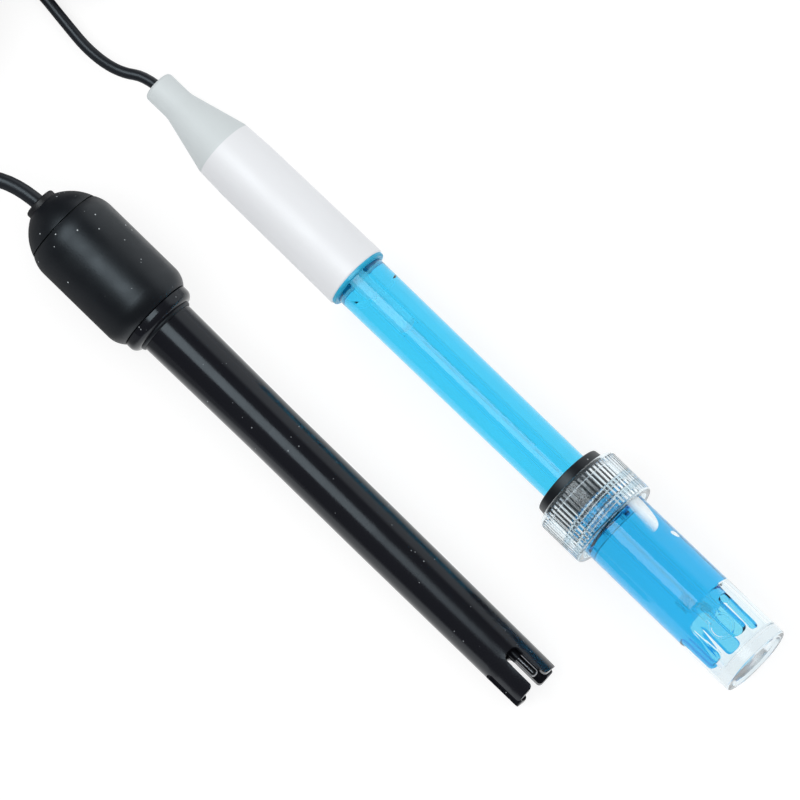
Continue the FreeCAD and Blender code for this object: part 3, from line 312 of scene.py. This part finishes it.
def solution_bonded(s):
    """All of the solution's surface except the level faces of its air pocket."""
    height, radius = s.axial(PH)
    return s.negate(s.both(s.below(radius, 7.12), s.between(height, 160.1, BOTTLE_FLOOR)))


def glassy(s, tint, ior, roughness=0.02, wave=0.004):
    """A clear surface, slightly uneven in gloss and, by a wave in mm, in shape."""
    if isinstance(roughness, float):
        rougher = roughness + 0.02
    else:
        rougher = s.math("ADD", roughness, 0.05)
    uneven = s.span(s.noise(400.0, 3.0), roughness, rougher, 0.35, 0.75)
    ripple = s.bump(s.noise(140.0, 2.0), wave)
    return (s.add("BsdfPrincipled", {"Base Color": tint, "Roughness": uneven, "IOR": ior,
                                     "Transmission Weight": 1.0, "Normal": ripple}), 0)


def unseen(s, surface, hidden):
    """Passes straight through where hidden gives 1."""
    return s.mixed(hidden, surface, (s.add("BsdfTransparent"), 0))


def liquid_material(name, tint, ior, bonded):
    """A liquid or gel, seen only where it meets air."""
    s = Shader(name)
    return s.finish(unseen(s, glassy(s, tint, ior, wave=0.0), bonded(s)))


def tube_material():
    """Clear blue plastic, coloured as light crosses its outside, and deeper in the solution, where
    it hardly bends light. Its flange is partly matt."""
    s = Shader("clear_blue_tube")
    height, radius = s.axial(PH)
    outside = s.above(radius, TUBE_INSIDE)
    cloud = s.span(s.noise(30.0, 2.0), 0.0, 1.0, 0.3, 0.7)

    def coloured(blue, ior):
        return glassy(s, s.blend(outside, CLEAR_TINT, blue), ior)

    dry = coloured(s.blend(cloud, TUBE_TINT, shade(TUBE_TINT, 0.97)), BONDED_INDEX)
    wet = coloured(s.blend(cloud, WET_TINT, shade(WET_TINT, 0.96)), THIN_INDEX)
    matt = s.add("BsdfPrincipled", {"Base Color": FLANGE_MATT, "Roughness": 0.3})
    clear = coloured(FLANGE_TINT, THIN_INDEX)
    flange = s.mixed(s.math("MULTIPLY", outside, FLANGE_DULL), clear, (matt, 0))
    surface = s.mixed(s.below(height, FLANGE_END), s.mixed(wetted(s), dry, wet), flange)
    return s.finish(unseen(s, surface, tube_bonded(s)))


def stem_material():
    """The glass stem: its bore shows a little beside its air and faintly beside its filling."""
    s = Shader("glass_stem")
    height, radius = s.axial(PH)
    outside = glassy(s, (0.93, 0.98, 1.0, 1), 1.08)
    filled, airy = glassy(s, CLEAR_TINT, 1.04), glassy(s, CLEAR_TINT, 1.10)
    bore = s.mixed(s.below(height, STEM_LEVEL), filled, airy)
    inner = s.both(s.below(radius, STEM_INSIDE), s.below(height, STEM_END))
    return s.finish(s.mixed(inner, outside, bore))


def bottle_material():
    """Clear moulding, greyish at its thick closed end, where the mould left it a little matt. Over
    the air pocket, and where light that came in there leaves, the wall hardly bends light."""
    s = Shader("clear_bottle")
    height, radius = s.axial(PH)
    end = s.span(height, 0.0, 1.0, 160.0 * MM, 173.0 * MM)
    tint = s.blend(end, (0.95, 0.985, 1.0, 1), (0.79, 0.865, 0.90, 1))
    thick = glassy(s, tint, BONDED_INDEX, s.span(height, 0.01, 0.16, 171.5 * MM, 174.0 * MM))
    thin = glassy(s, (0.88, 0.94, 0.96, 1), THIN_INDEX, 0.03)
    inner = s.both(s.below(radius, BOTTLE_INSIDE), s.below(height, FLOOR_FACE))
    parts = s.add("SeparateXYZ", {"Vector": s.own_axes(PH)})
    # Light that comes in over the pocket leaves under it, on the bottle's +Y side.
    under = s.both(s.above((parts, 0), -2.0), s.above((parts, 1), 4.3),
                   s.between(height, 157.0, BOTTLE_FLOOR))
    over = s.both(in_pocket(s), s.below(height, BOTTLE_FLOOR))
    slight = s.math("MAXIMUM", inner, s.math("MAXIMUM", over, under))
    return s.finish(unseen(s, s.mixed(slight, thick, thin), bottle_bonded(s)))


def cap_material():
    """Clear moulding whose rib flanks over the seal, on the cap's upper side, are partly a pale
    matt, a painted reflection that makes them show there. A flank is where the surface faces round
    the axis and not away from it."""
    s = Shader("clear_cap")
    parts = s.add("SeparateXYZ", {"Vector": s.own_axes(PH)})
    _, radius = s.axial(PH)
    _, turn, _ = PH.decompose()
    facing = s.add("Mapping", {"Vector": (s.add("TexCoord"), "Normal"),
                               "Rotation": turn.to_euler()}, vector_type="TEXTURE")
    facing = s.add("SeparateXYZ", {"Vector": (facing, "Vector")})
    one = s.math("MULTIPLY", (facing, 1), (parts, 0))
    two = s.math("MULTIPLY", (facing, 0), (parts, 1))
    sideways = s.math("ABSOLUTE", s.math("DIVIDE", s.math("SUBTRACT", one, two), radius))
    over_seal = s.both(s.span((parts, 2), 1.0, 0.0, SEAL_FADE[0] * MM, SEAL_FADE[1] * MM),
                       s.span((parts, 0), 1.0, 0.0, -7.0 * MM, -3.5 * MM),
                       s.negate((s.add("NewGeometry"), "Backfacing")))
    # Painted reflection: pale matt on the front flanks of the upper side over the seal, broken up
    # by noise.
    painted_sheen = s.both(over_seal, s.span(sideways, 0.0, CAP_PAINTED_SHEEN_MOST, 0.25, 0.6),
                  s.span(s.noise(700.0, 3.0), 0.3, 1.0, 0.38, 0.62))
    matt = s.add("BsdfPrincipled", {"Base Color": CAP_PAINTED_SHEEN, "Roughness": 0.3})
    return s.finish(s.mixed(painted_sheen, glassy(s, CAP_TINT, 1.49), (matt, 0)))


def veiled(name, colour, roughness, hidden):
    """A small part deep inside, mostly lost to the eye in the clear bodies round it."""
    s = Shader(name)
    loss = s.span(s.noise(500.0, 4.0), hidden - 0.08, hidden + 0.08, 0.3, 0.7)
    body = s.add("BsdfPrincipled", {"Base Color": colour + (1,), "Roughness": roughness,
                                    "Normal": s.bump(s.noise(900.0), 0.003)})
    return s.finish(unseen(s, (body, 0), loss))


def all_materials():
    return {
        "grey_boot": moulded("grey_boot", (0.68, 0.735, 0.75), 0.55, height=0.02, mottle=0.02),
        "white_barrel": moulded("white_barrel", (0.865, 0.885, 0.915), 0.42, height=0.006,
                                mottle=0.01),
        "resin": moulded("resin", (0.10, 0.10, 0.11), 0.5),
        "clear_blue_tube": tube_material(),
        "black_moulding": moulded("black_moulding", (0.009, 0.0095, 0.013), 0.17, grain=0.8,
                                  height=0.003, specks=0.4, shine=COOL),
        "ceramic": veiled("ceramic", (0.90, 0.91, 0.90), 0.7, 0.75),
        "glass_stem": stem_material(),
        "clear_fluid": liquid_material("clear_fluid", CLEAR_TINT, 1.10, fill_bonded),
        "storage_fluid": liquid_material("storage_fluid", CLEAR_TINT, 1.24, solution_bonded),
        "reference_gel": liquid_material("reference_gel", (0.90, 0.97, 1.0, 1), 1.09, gel_bonded),
        "silver_wire": veiled("silver_wire", (0.85, 0.90, 0.92), 0.4, 0.85),
        "cord_tie": moulded("cord_tie", (0.03, 0.03, 0.032), 0.45, height=0.01),
        "black_boot": moulded("black_boot", (0.014, 0.015, 0.018), 0.42, height=0.015),
        "nickel": metal("nickel", (0.70, 0.69, 0.66), 0.22),
        "white_insulator": moulded("white_insulator", (0.85, 0.85, 0.83), 0.5),
        "gold_contact": metal("gold_contact", (0.83, 0.62, 0.26), 0.2),
        "black_rubber": moulded("black_rubber", (0.006, 0.0075, 0.011), 0.40, grain=0.5,
                                height=0.010, mottle=0.15, specks=1.0, shine=COOL, ior=1.53),
        "clear_cap": cap_material(),
        "clear_bottle": bottle_material(),
        "graphite": metal("graphite", (0.26, 0.27, 0.29), 0.12),
        "copper_wire": metal("copper_wire", (0.72, 0.40, 0.25), 0.3),
        "black_cord": moulded("black_cord", (0.014, 0.016, 0.021), 0.34, grain=0.6, height=0.01,
                              mottle=0.1, shine=COOL),
    }


materials = all_materials()


def dress_nodes():
    """Gives every CAD node the finish of its slot in the record."""
    for entry in frame["record"]["subparts"]:
        mesh = nodes[entry["node"]].data
        mesh.materials.clear()
        mesh.materials.append(materials[entry["material_slot"]])


dress_nodes()


# ---------------------------------------------------------------- meshes


def new_piece(name, data, body, slot, material=None):
    """Adds a mesh or curve as a piece that rides a body, in its slot's finish or one of its own."""
    piece = bpy.data.objects.new(name, data)
    scene.collection.objects.link(piece)
    data.materials.append(material or materials[slot])
    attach(piece, body)
    return piece


def as_mesh(name, bm, angle=35.0):
    """The finished mesh, with its faces turned outward and smooth up to an angle in degrees."""
    bmesh.ops.recalc_face_normals(bm, faces=bm.faces)
    mesh = bpy.data.meshes.new(name)
    bm.to_mesh(mesh)
    bm.free()
    for face in mesh.polygons:
        face.use_smooth = True
    mesh.set_sharp_from_angle(angle=math.radians(angle))
    return mesh


def bridge(bm, one, two):
    """Closes the gap between two rings of as many corners."""
    for k in range(len(one)):
        after = (k + 1) % len(one)
        bm.faces.new((one[k], one[after], two[after], two[k]))


def turned(name, outline, matrix, steps):
    """A mesh turned round local Z from (radius, height) points in mm that start and end on it."""
    bm = bmesh.new()
    rings = []
    for radius, height in outline:
        if radius < 1e-6:
            rings.append([bm.verts.new(matrix @ Vector((0, 0, height * MM)))])
            continue
        ring = []
        for step in range(steps):
            angle = 2 * math.pi * step / steps
            spot = Vector((radius * math.cos(angle), radius * math.sin(angle), height)) * MM
            ring.append(bm.verts.new(matrix @ spot))
        rings.append(ring)
    for one, two in zip(rings, rings[1:]):
        for step in range(steps):
            after = (step + 1) % steps
            corners = [one[step % len(one)], two[step % len(two)],
                       two[after % len(two)], one[after % len(one)]]
            bm.faces.new(list(dict.fromkeys(corners)))
    return as_mesh(name, bm)


THREAD_STEPS = 72        # per turn
THREAD_RUN_OUT = 0.12    # of a turn
THREAD_PITCH = 3.0


def thread(name, matrix, root, crest, start, turns, foot, top):
    """A screw thread's ridge as one closed mesh, running out at both ends, sizes in mm."""
    bm = bmesh.new()
    total = int(THREAD_STEPS * turns)
    run_out = THREAD_STEPS * THREAD_RUN_OUT
    rows = []
    for step in range(total + 1):
        angle = 2 * math.pi * step / THREAD_STEPS
        fade = min(1.0, step / run_out, (total - step) / run_out)
        height = start + THREAD_PITCH * step / THREAD_STEPS
        reach = root + (crest - root) * max(fade, 0.02)
        section = ((root, -foot / 2), (reach, -top / 2), (reach, top / 2), (root, foot / 2))
        spots = [Vector((radius * math.cos(angle), radius * math.sin(angle), height + up))
                 for radius, up in section]
        rows.append([bm.verts.new(matrix @ (spot * MM)) for spot in spots])
    for one, two in zip(rows, rows[1:]):
        bridge(bm, one, two)
    bm.faces.new(rows[0])
    bm.faces.new(list(reversed(rows[-1])))
    return as_mesh(name, bm)


# ---------------------------------------------------------------- cords

POINTS_PER_TURN = 16
PULL_IN = 0.981       # how far inside its control points a turn's curve runs
OFF_THE_TABLE = 0.5   # mm under the lowest turn


def coil_turns(centre, middle, pitch, layers, rows, turns):
    """Control points of a neatly wound coil, clockwise from its near side, from the bottom row's
    outer turn, in mm."""
    points = []
    for step in range(int(turns * POINTS_PER_TURN) + 1):
        turn = step / POINTS_PER_TURN
        row, layer = coil_seat(turn, layers, rows)
        radius = (middle + (layers - 1) * pitch / 2 - layer * pitch) / PULL_IN
        angle = -math.pi / 2 - 2 * math.pi * turn
        points.append((centre[0] + radius * math.cos(angle), centre[1] + radius * math.sin(angle),
                       OFF_THE_TABLE + pitch / 2 + row * pitch))
    return points


def coil_seat(turn, layers, rows):
    """(row, layer) of a place along the coil; the cord steps over in the last sixth of a turn."""
    whole, part = int(turn), turn - int(turn)
    step = max(0.0, (part - 5 / 6) * 6)
    here, after = seat_of(whole, layers, rows), seat_of(whole + 1, layers, rows)
    return tuple(a + (b - a) * step for a, b in zip(here, after))


def seat_of(whole, layers, rows):
    """(row, layer) of a whole turn: rows fill inwards and outwards in turn, from the table up."""
    row = min(whole // layers, rows - 1)
    inward = whole - row * layers
    layer = inward if row % 2 == 0 else layers - 1 - inward
    return row, max(0, min(layers - 1, layer))


def cord(name, points, diameter, body):
    """A round cord on one smooth curve through the air and along the table, points in mm."""
    data = bpy.data.curves.new(name, "CURVE")
    data.dimensions = "3D"
    spline = data.splines.new("NURBS")
    spline.points.add(len(points) - 1)
    for point, spot in zip(spline.points, points):
        point.co = (spot[0] * MM, spot[1] * MM, spot[2] * MM, 1.0)
    spline.order_u = 3
    spline.use_endpoint_u = True
    spline.resolution_u = 6
    data.bevel_depth = diameter * MM / 2
    data.bevel_resolution = 5
    data.use_fill_caps = True
    return new_piece(name, data, body, "black_cord")


# The route's points from the part's source, in mm, with the coils' turns in place of the points
# inside them. EC_TAIL starts 0.7 mm nearer its coil, to keep the smooth line in the part's box.
PH_LEAD = [
    (-84.273, 17.66, 6.38),
    (-90.768, 17.66, 6.151),
    (-96.0, 14.1, 5.0),
    (-103.9, 13.2, 2.7),
    (-112.9, 14.3, 1.8),
    (-120.6, 15.2, 2.1),
]
PH_TAIL = [
    (-142.8, 37.3, 6.8),
    (-148.4, 41.2, 3.9),
    (-154.835, 41.2, 1.872),
    (-161.428, 41.2, 3.063),
]
EC_LEAD = [
    (-83.403, -18.329, 11.05),
    (-91.497, -18.384, 11.358),
    (-100.6, -22.8, 9.5),
    (-109.6, -27.3, 5.0),
    (-119.6, -31.0, 2.4),
    (-128.6, -31.5, 2.4),
]
EC_TAIL = [
    (-147.5, -31.5, 10.0),
    (-157.4, -30.8, 6.0),
    (-165.0, -25.4, 3.2),
    (-168.4, -16.962, 2.09),
    (-168.4, -9.064, 3.362),
]
PH_CORD, EC_CORD = 2.4, 3.34


def both_cords():
    ph_coil = coil_turns((-127.4, 30.2), middle=12.6, pitch=PH_CORD, layers=3, rows=4, turns=11.25)
    ec_coil = coil_turns((-137.9, -12.8), middle=17.3, pitch=EC_CORD, layers=2, rows=4, turns=8.0)
    ph_cord = cord("ph_cord_line", PH_LEAD + ph_coil + PH_TAIL, PH_CORD, "ph_electrode")
    ec_cord = cord("ec_cord_line", EC_LEAD + ec_coil + EC_TAIL, EC_CORD, "ec_probe")
    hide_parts("ph_cord", "ph_cord_coil", "ph_cord_tail", "ph_cord_core",
                "bnc_cord_core")
    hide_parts("ec_cord", "ec_cord_coil", "ec_cord_tail", "ec_cord_core",
                "ec_plug_cord_core")


both_cords()


# ---------------------------------------------------------------- threads, liquid and air


def bottle_threads():
    mesh = thread("bottle_thread", PH, root=8.15, crest=8.95, start=130.2, turns=1.75, foot=1.5,
                  top=0.6)
    new_piece("bottle_thread", mesh, "bottle", "clear_bottle")
    mesh = thread("cap_thread", PH, root=9.4, crest=8.65, start=128.6, turns=1.9, foot=1.4, top=0.6)
    new_piece("cap_thread", mesh, "cap", "clear_cap")


bottle_threads()


LIQUID_RADIUS = 7.17
LIQUID_FACE = 131.0    # against the seal
LIQUID_STEPS = 96


def liquid():
    """The storage solution as one body, with the level of its air pocket, in place of the node."""
    bm = bmesh.new()
    rings = []
    full = [(LIQUID_RADIUS, LIQUID_FACE), (LIQUID_RADIUS, POCKET_START)]
    for top, height in full + LEVEL:
        ring = []
        for step in range(LIQUID_STEPS):
            angle = 2 * math.pi * step / LIQUID_STEPS
            x = max(LIQUID_RADIUS * math.cos(angle), -top)
            spot = Vector((x, LIQUID_RADIUS * math.sin(angle), height)) * MM
            ring.append(bm.verts.new(POCKET @ spot))
        rings.append(ring)
    for one, two in zip(rings, rings[1:]):
        bridge(bm, one, two)
    bm.faces.new(rings[0][::-1])
    bm.faces.new(rings[-1])
    bmesh.ops.remove_doubles(bm, verts=bm.verts, dist=1e-7)
    mesh = as_mesh("storage_liquid", bm, 20.0)
    piece = new_piece("storage_liquid", mesh, "bottle", "storage_fluid")
    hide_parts("storage_solution")


def on_wall(radius, turn, height):
    """A place on the bottle's wall: degrees from the top towards +Y, height along the axis."""
    angle = math.radians(turn)
    return PH @ (Vector((-radius * math.cos(angle), radius * math.sin(angle), height)) * MM)


def bubble(name, outline, radius, thickness, air):
    """A flat bubble against the wall: a thin closed lens over an outline of (turn, height)."""
    bm = bmesh.new()
    middle = [sum(place[k] for place in outline) / len(outline) for k in (0, 1)]
    rims = []
    for share in (1.0, 0.8, 0.4):
        places = [[m + (value - m) * share for m, value in zip(middle, place)] for place in outline]
        bulge = thickness * (1 - share**2) ** 0.5 / 2
        rims.append([[bm.verts.new(on_wall(radius + side * bulge, t, z)) for t, z in places]
                     for side in ((0,) if share == 1.0 else (1, -1))])
    for side in (0, 1):
        layers = [rims[0][0], rims[1][side], rims[2][side]]
        for outer, inner in zip(layers, layers[1:]):
            bridge(bm, outer, inner)
        bm.faces.new(layers[-1])
    new_piece(name, as_mesh(name, bm, 60.0), "bottle", "storage_fluid", air)


def rounded(outline, rounds=3):
    """The closed outline with its corners cut again and again, until it is round."""
    for _ in range(rounds):
        cornered = []
        for (a, b), (c, d) in zip(outline, outline[1:] + outline[:1]):
            cornered += [(a * near + c * (1 - near), b * near + d * (1 - near))
                         for near in (0.75, 0.25)]
        outline = cornered
    return outline


def wall_air_painted_glow_material():
    """Trapped air, painted white by a faint glow of its own in place of the light it throws back
    from its far side, and fading towards the top.
    """
    s = Shader("trapped_air_painted_glow")
    parts = s.add("SeparateXYZ", {"Vector": s.own_axes(PH)})
    clearer = s.span((parts, 1), 1.0, 0.10, 3.4 * MM, 5.4 * MM)
    veil = s.math("MULTIPLY", clearer, s.span(s.noise(700.0), 0.9, 1.0))
    # The emission is painted light: a glow standing in for the white light that trapped air throws
    # back.
    body = s.add("BsdfPrincipled", {"Base Color": (0.93, 0.95, 0.96, 1), "Roughness": 0.25,
                                    "Emission Color": (0.9, 0.97, 1, 1),
                                    "Emission Strength": 0.3})
    return s.finish(unseen(s, (body, 0), veil))


def stem_air_painted_glow_material():
    """The air in the stem, a pale veil a little mottled by the wet glass, lit by a painted glow of
    its own.
    """
    s = Shader("stem_air_painted_glow")
    veil = s.span(s.noise(420.0, 3.0), 0.50, 0.72, 0.3, 0.7)
    # The emission is painted light: a glow that makes the air read pale, though it is no lamp.
    body = s.add("BsdfPrincipled", {"Base Color": (0.85, 0.95, 1.0, 1), "Roughness": 0.3,
                                    "Emission Color": (0.75, 0.95, 1, 1),
                                    "Emission Strength": 0.35})
    return s.finish(unseen(s, (body, 0), veil))


def wall_bubbles():
    """Two bubbles that cling to the bottle's wall, one running up under the cap."""
    air = wall_air_painted_glow_material()
    leaf = [(70, 131.5), (72, 135.2), (67, 138.5), (58, 141.3), (47, 142.7), (30, 143.2),
            (26, 142.6), (29, 139.2), (32, 135.5), (36, 131.5)]
    bubble("bottle_bubble", rounded(leaf), radius=6.92, thickness=0.5, air=air)
    drop = [(56, 145.2), (64, 144.8), (73, 145.6), (71, 147.0), (62, 146.8)]
    bubble("bottle_bubble_small", rounded(drop), radius=6.97, thickness=0.4, air=air)


STEM_BORE = 1.42
STEM_AIR_START, STEM_AIR_ROUND = 58.0, 73.9


def stem_bubble():
    """A rod of air that fills the stem's bore from its cord end, with a round end at the level."""
    turns = [math.radians(angle) for angle in range(0, 91, 10)]
    end = [(STEM_BORE * math.sin(turn), STEM_AIR_ROUND + STEM_BORE * math.cos(turn))
           for turn in turns]
    outline = end + [(STEM_BORE, STEM_AIR_START), (0.0, STEM_AIR_START)]
    mesh = turned("stem_bubble", outline, PH, steps=48)
    new_piece("stem_bubble", mesh, "ph_electrode", "clear_fluid", stem_air_painted_glow_material())


liquid()
wall_bubbles()
stem_bubble()


# ---------------------------------------------------------------- table, lamps and world


# How bright the table looks beyond the light that falls on it: to the camera and in gloss, through
# clear plastic, and to matt surfaces.
SEEN_DIRECTLY, SEEN_THROUGH_GLASS, SEEN_BY_MATT = 0.79, 0.84, 0.70
TABLE_HALF = 3.0
TABLE_DROP = 0.0002    # below the part, in metres
# The dark flag's edge, as y plus a share of x, and how wide it fades.
FLAG_SLANT = 1.125
FLAG_FROM, FLAG_TO = -0.100, -0.084


def table_top():
    """White paper, lit from below as on a light table, so that shadows stay faint. A dark flag
    beside it keeps gloss from seeing its far corner."""
    s = Shader("table")
    paper = s.blend(s.noise(25.0, 3.0), (0.27, 0.27, 0.27, 1), (0.29, 0.29, 0.29, 1))
    body = s.add("BsdfPrincipled", {"Base Color": paper, "Roughness": 0.9,
                                    "Specular IOR Level": 0.1})
    path = s.add("LightPath")
    parts = s.add("SeparateXYZ", {"Vector": s.place()})
    across = s.math("ADD", (parts, 1), s.math("MULTIPLY", (parts, 0), FLAG_SLANT))
    gloss = s.both((path, "Is Glossy Ray"), s.span(across, 0.0, 1.0, FLAG_FROM, FLAG_TO))
    direct = s.both(s.math("MAXIMUM", (path, "Is Camera Ray"), gloss), SEEN_DIRECTLY,
                    s.negate((path, "Is Transmission Ray")))
    through = s.math("MULTIPLY", (path, "Is Transmission Ray"), SEEN_THROUGH_GLASS)
    bounce = s.math("MULTIPLY", (path, "Is Diffuse Ray"), SEEN_BY_MATT)
    glow = s.math("ADD", s.math("ADD", direct, bounce), through)
    surface = s.add("AddShader", {0: (body, 0), 1: (s.add("Emission", {"Strength": glow}), 0)})
    mesh = bpy.data.meshes.new("table")
    corners = [(x * TABLE_HALF, y * TABLE_HALF, 0) for x, y in ((-1, -1), (1, -1), (1, 1), (-1, 1))]
    mesh.from_pydata(corners, [], [(0, 1, 2, 3)])
    mesh.materials.append(s.finish((surface, 0)))
    table = bpy.data.objects.new("table", mesh)
    table.location.z = -TABLE_DROP
    scene.collection.objects.link(table)


# The room's brightness: in gloss away from and towards +Y, and to everything else.
DIM_ROOM, BRIGHT_WALL, ROOM_LIGHT = 0.05, 0.9, 0.83
WALL_FROM, WALL_TO = 0.62, 0.78    # how far towards +Y a ray points where the wall fades in


def surroundings():
    """An even room: gloss sees it dim, with one bright wall low on the +Y side."""
    s = Shader("studio", bpy.data.worlds)
    path = s.add("LightPath")
    direction = s.add("SeparateXYZ", {"Vector": (s.add("TexCoord"), "Generated")})
    glossy = s.span((direction, "Y"), DIM_ROOM, BRIGHT_WALL, WALL_FROM, WALL_TO)
    level = s.span((path, "Is Glossy Ray"), ROOM_LIGHT, glossy)
    seen = s.math("MAXIMUM", (path, "Is Camera Ray"), (path, "Is Transmission Ray"))
    sky = s.add("Background", {"Color": (1, 1, 1, 1), "Strength": s.span(seen, level, 1.0)})
    scene.world = s.finish((sky, 0), "OutputWorld")


# The key lamp, in metres and W.
KEY_PLACE, KEY_SIZE, KEY_POWER = (-0.25, -0.75, 1.2), (0.9, 0.9), 4.7

# A softbox over the probes, in metres and W per square metre. Its +X end fades out in strips,
# each with its share of the glow and its width.
SOFTBOX_COLOUR = (0.90, 0.97, 1.0)
SOFTBOX_GLOW = 12.8
SOFTBOX_FROM, SOFTBOX_TO = -1.225, -0.102
SOFTBOX_WIDTH = 0.8
SOFTBOX_ACROSS, SOFTBOX_HEIGHT = -0.36, 1.22
SOFTBOX_FADE = [(0.85, 0.66), (0.62, 0.54), (0.42, 0.46), (0.28, 0.38), (0.15, 0.3)]
FADE_STEP = 0.018


def lamp(name, where, size, power):
    """A rectangular area lamp that faces down and that clear plastic doesn't show."""
    data = bpy.data.lights.new(name, "AREA")
    data.shape = "RECTANGLE"
    data.size, data.size_y = size
    data.energy = power
    light = bpy.data.objects.new(name, data)
    light.location = where
    light.visible_transmission = False
    scene.collection.objects.link(light)
    return light


def highlight(name, start, length, width, share=1.0):
    """A stretch of the softbox, seen only in glossy surfaces."""
    where = (start + length / 2, SOFTBOX_ACROSS, SOFTBOX_HEIGHT)
    light = lamp(name, where, (length, width), SOFTBOX_GLOW * share * length * width)
    light.data.color = SOFTBOX_COLOUR
    light.visible_diffuse = False


def studio():
    table_top()
    surroundings()
    key = lamp("key", KEY_PLACE, KEY_SIZE, KEY_POWER)
    key.visible_glossy = False
    highlight("softbox", SOFTBOX_FROM, SOFTBOX_TO - SOFTBOX_FROM, SOFTBOX_WIDTH)
    for step, (share, width) in enumerate(SOFTBOX_FADE):
        start = SOFTBOX_TO + step * FADE_STEP
        highlight(f"softbox_fade_{step}", start, FADE_STEP, width, share)
    scene.view_settings.view_transform = "Standard"
    scene.cycles.max_bounces = 32
    scene.cycles.transmission_bounces = 32
    scene.cycles.glossy_bounces = 8
    scene.cycles.transparent_max_bounces = 24


studio()
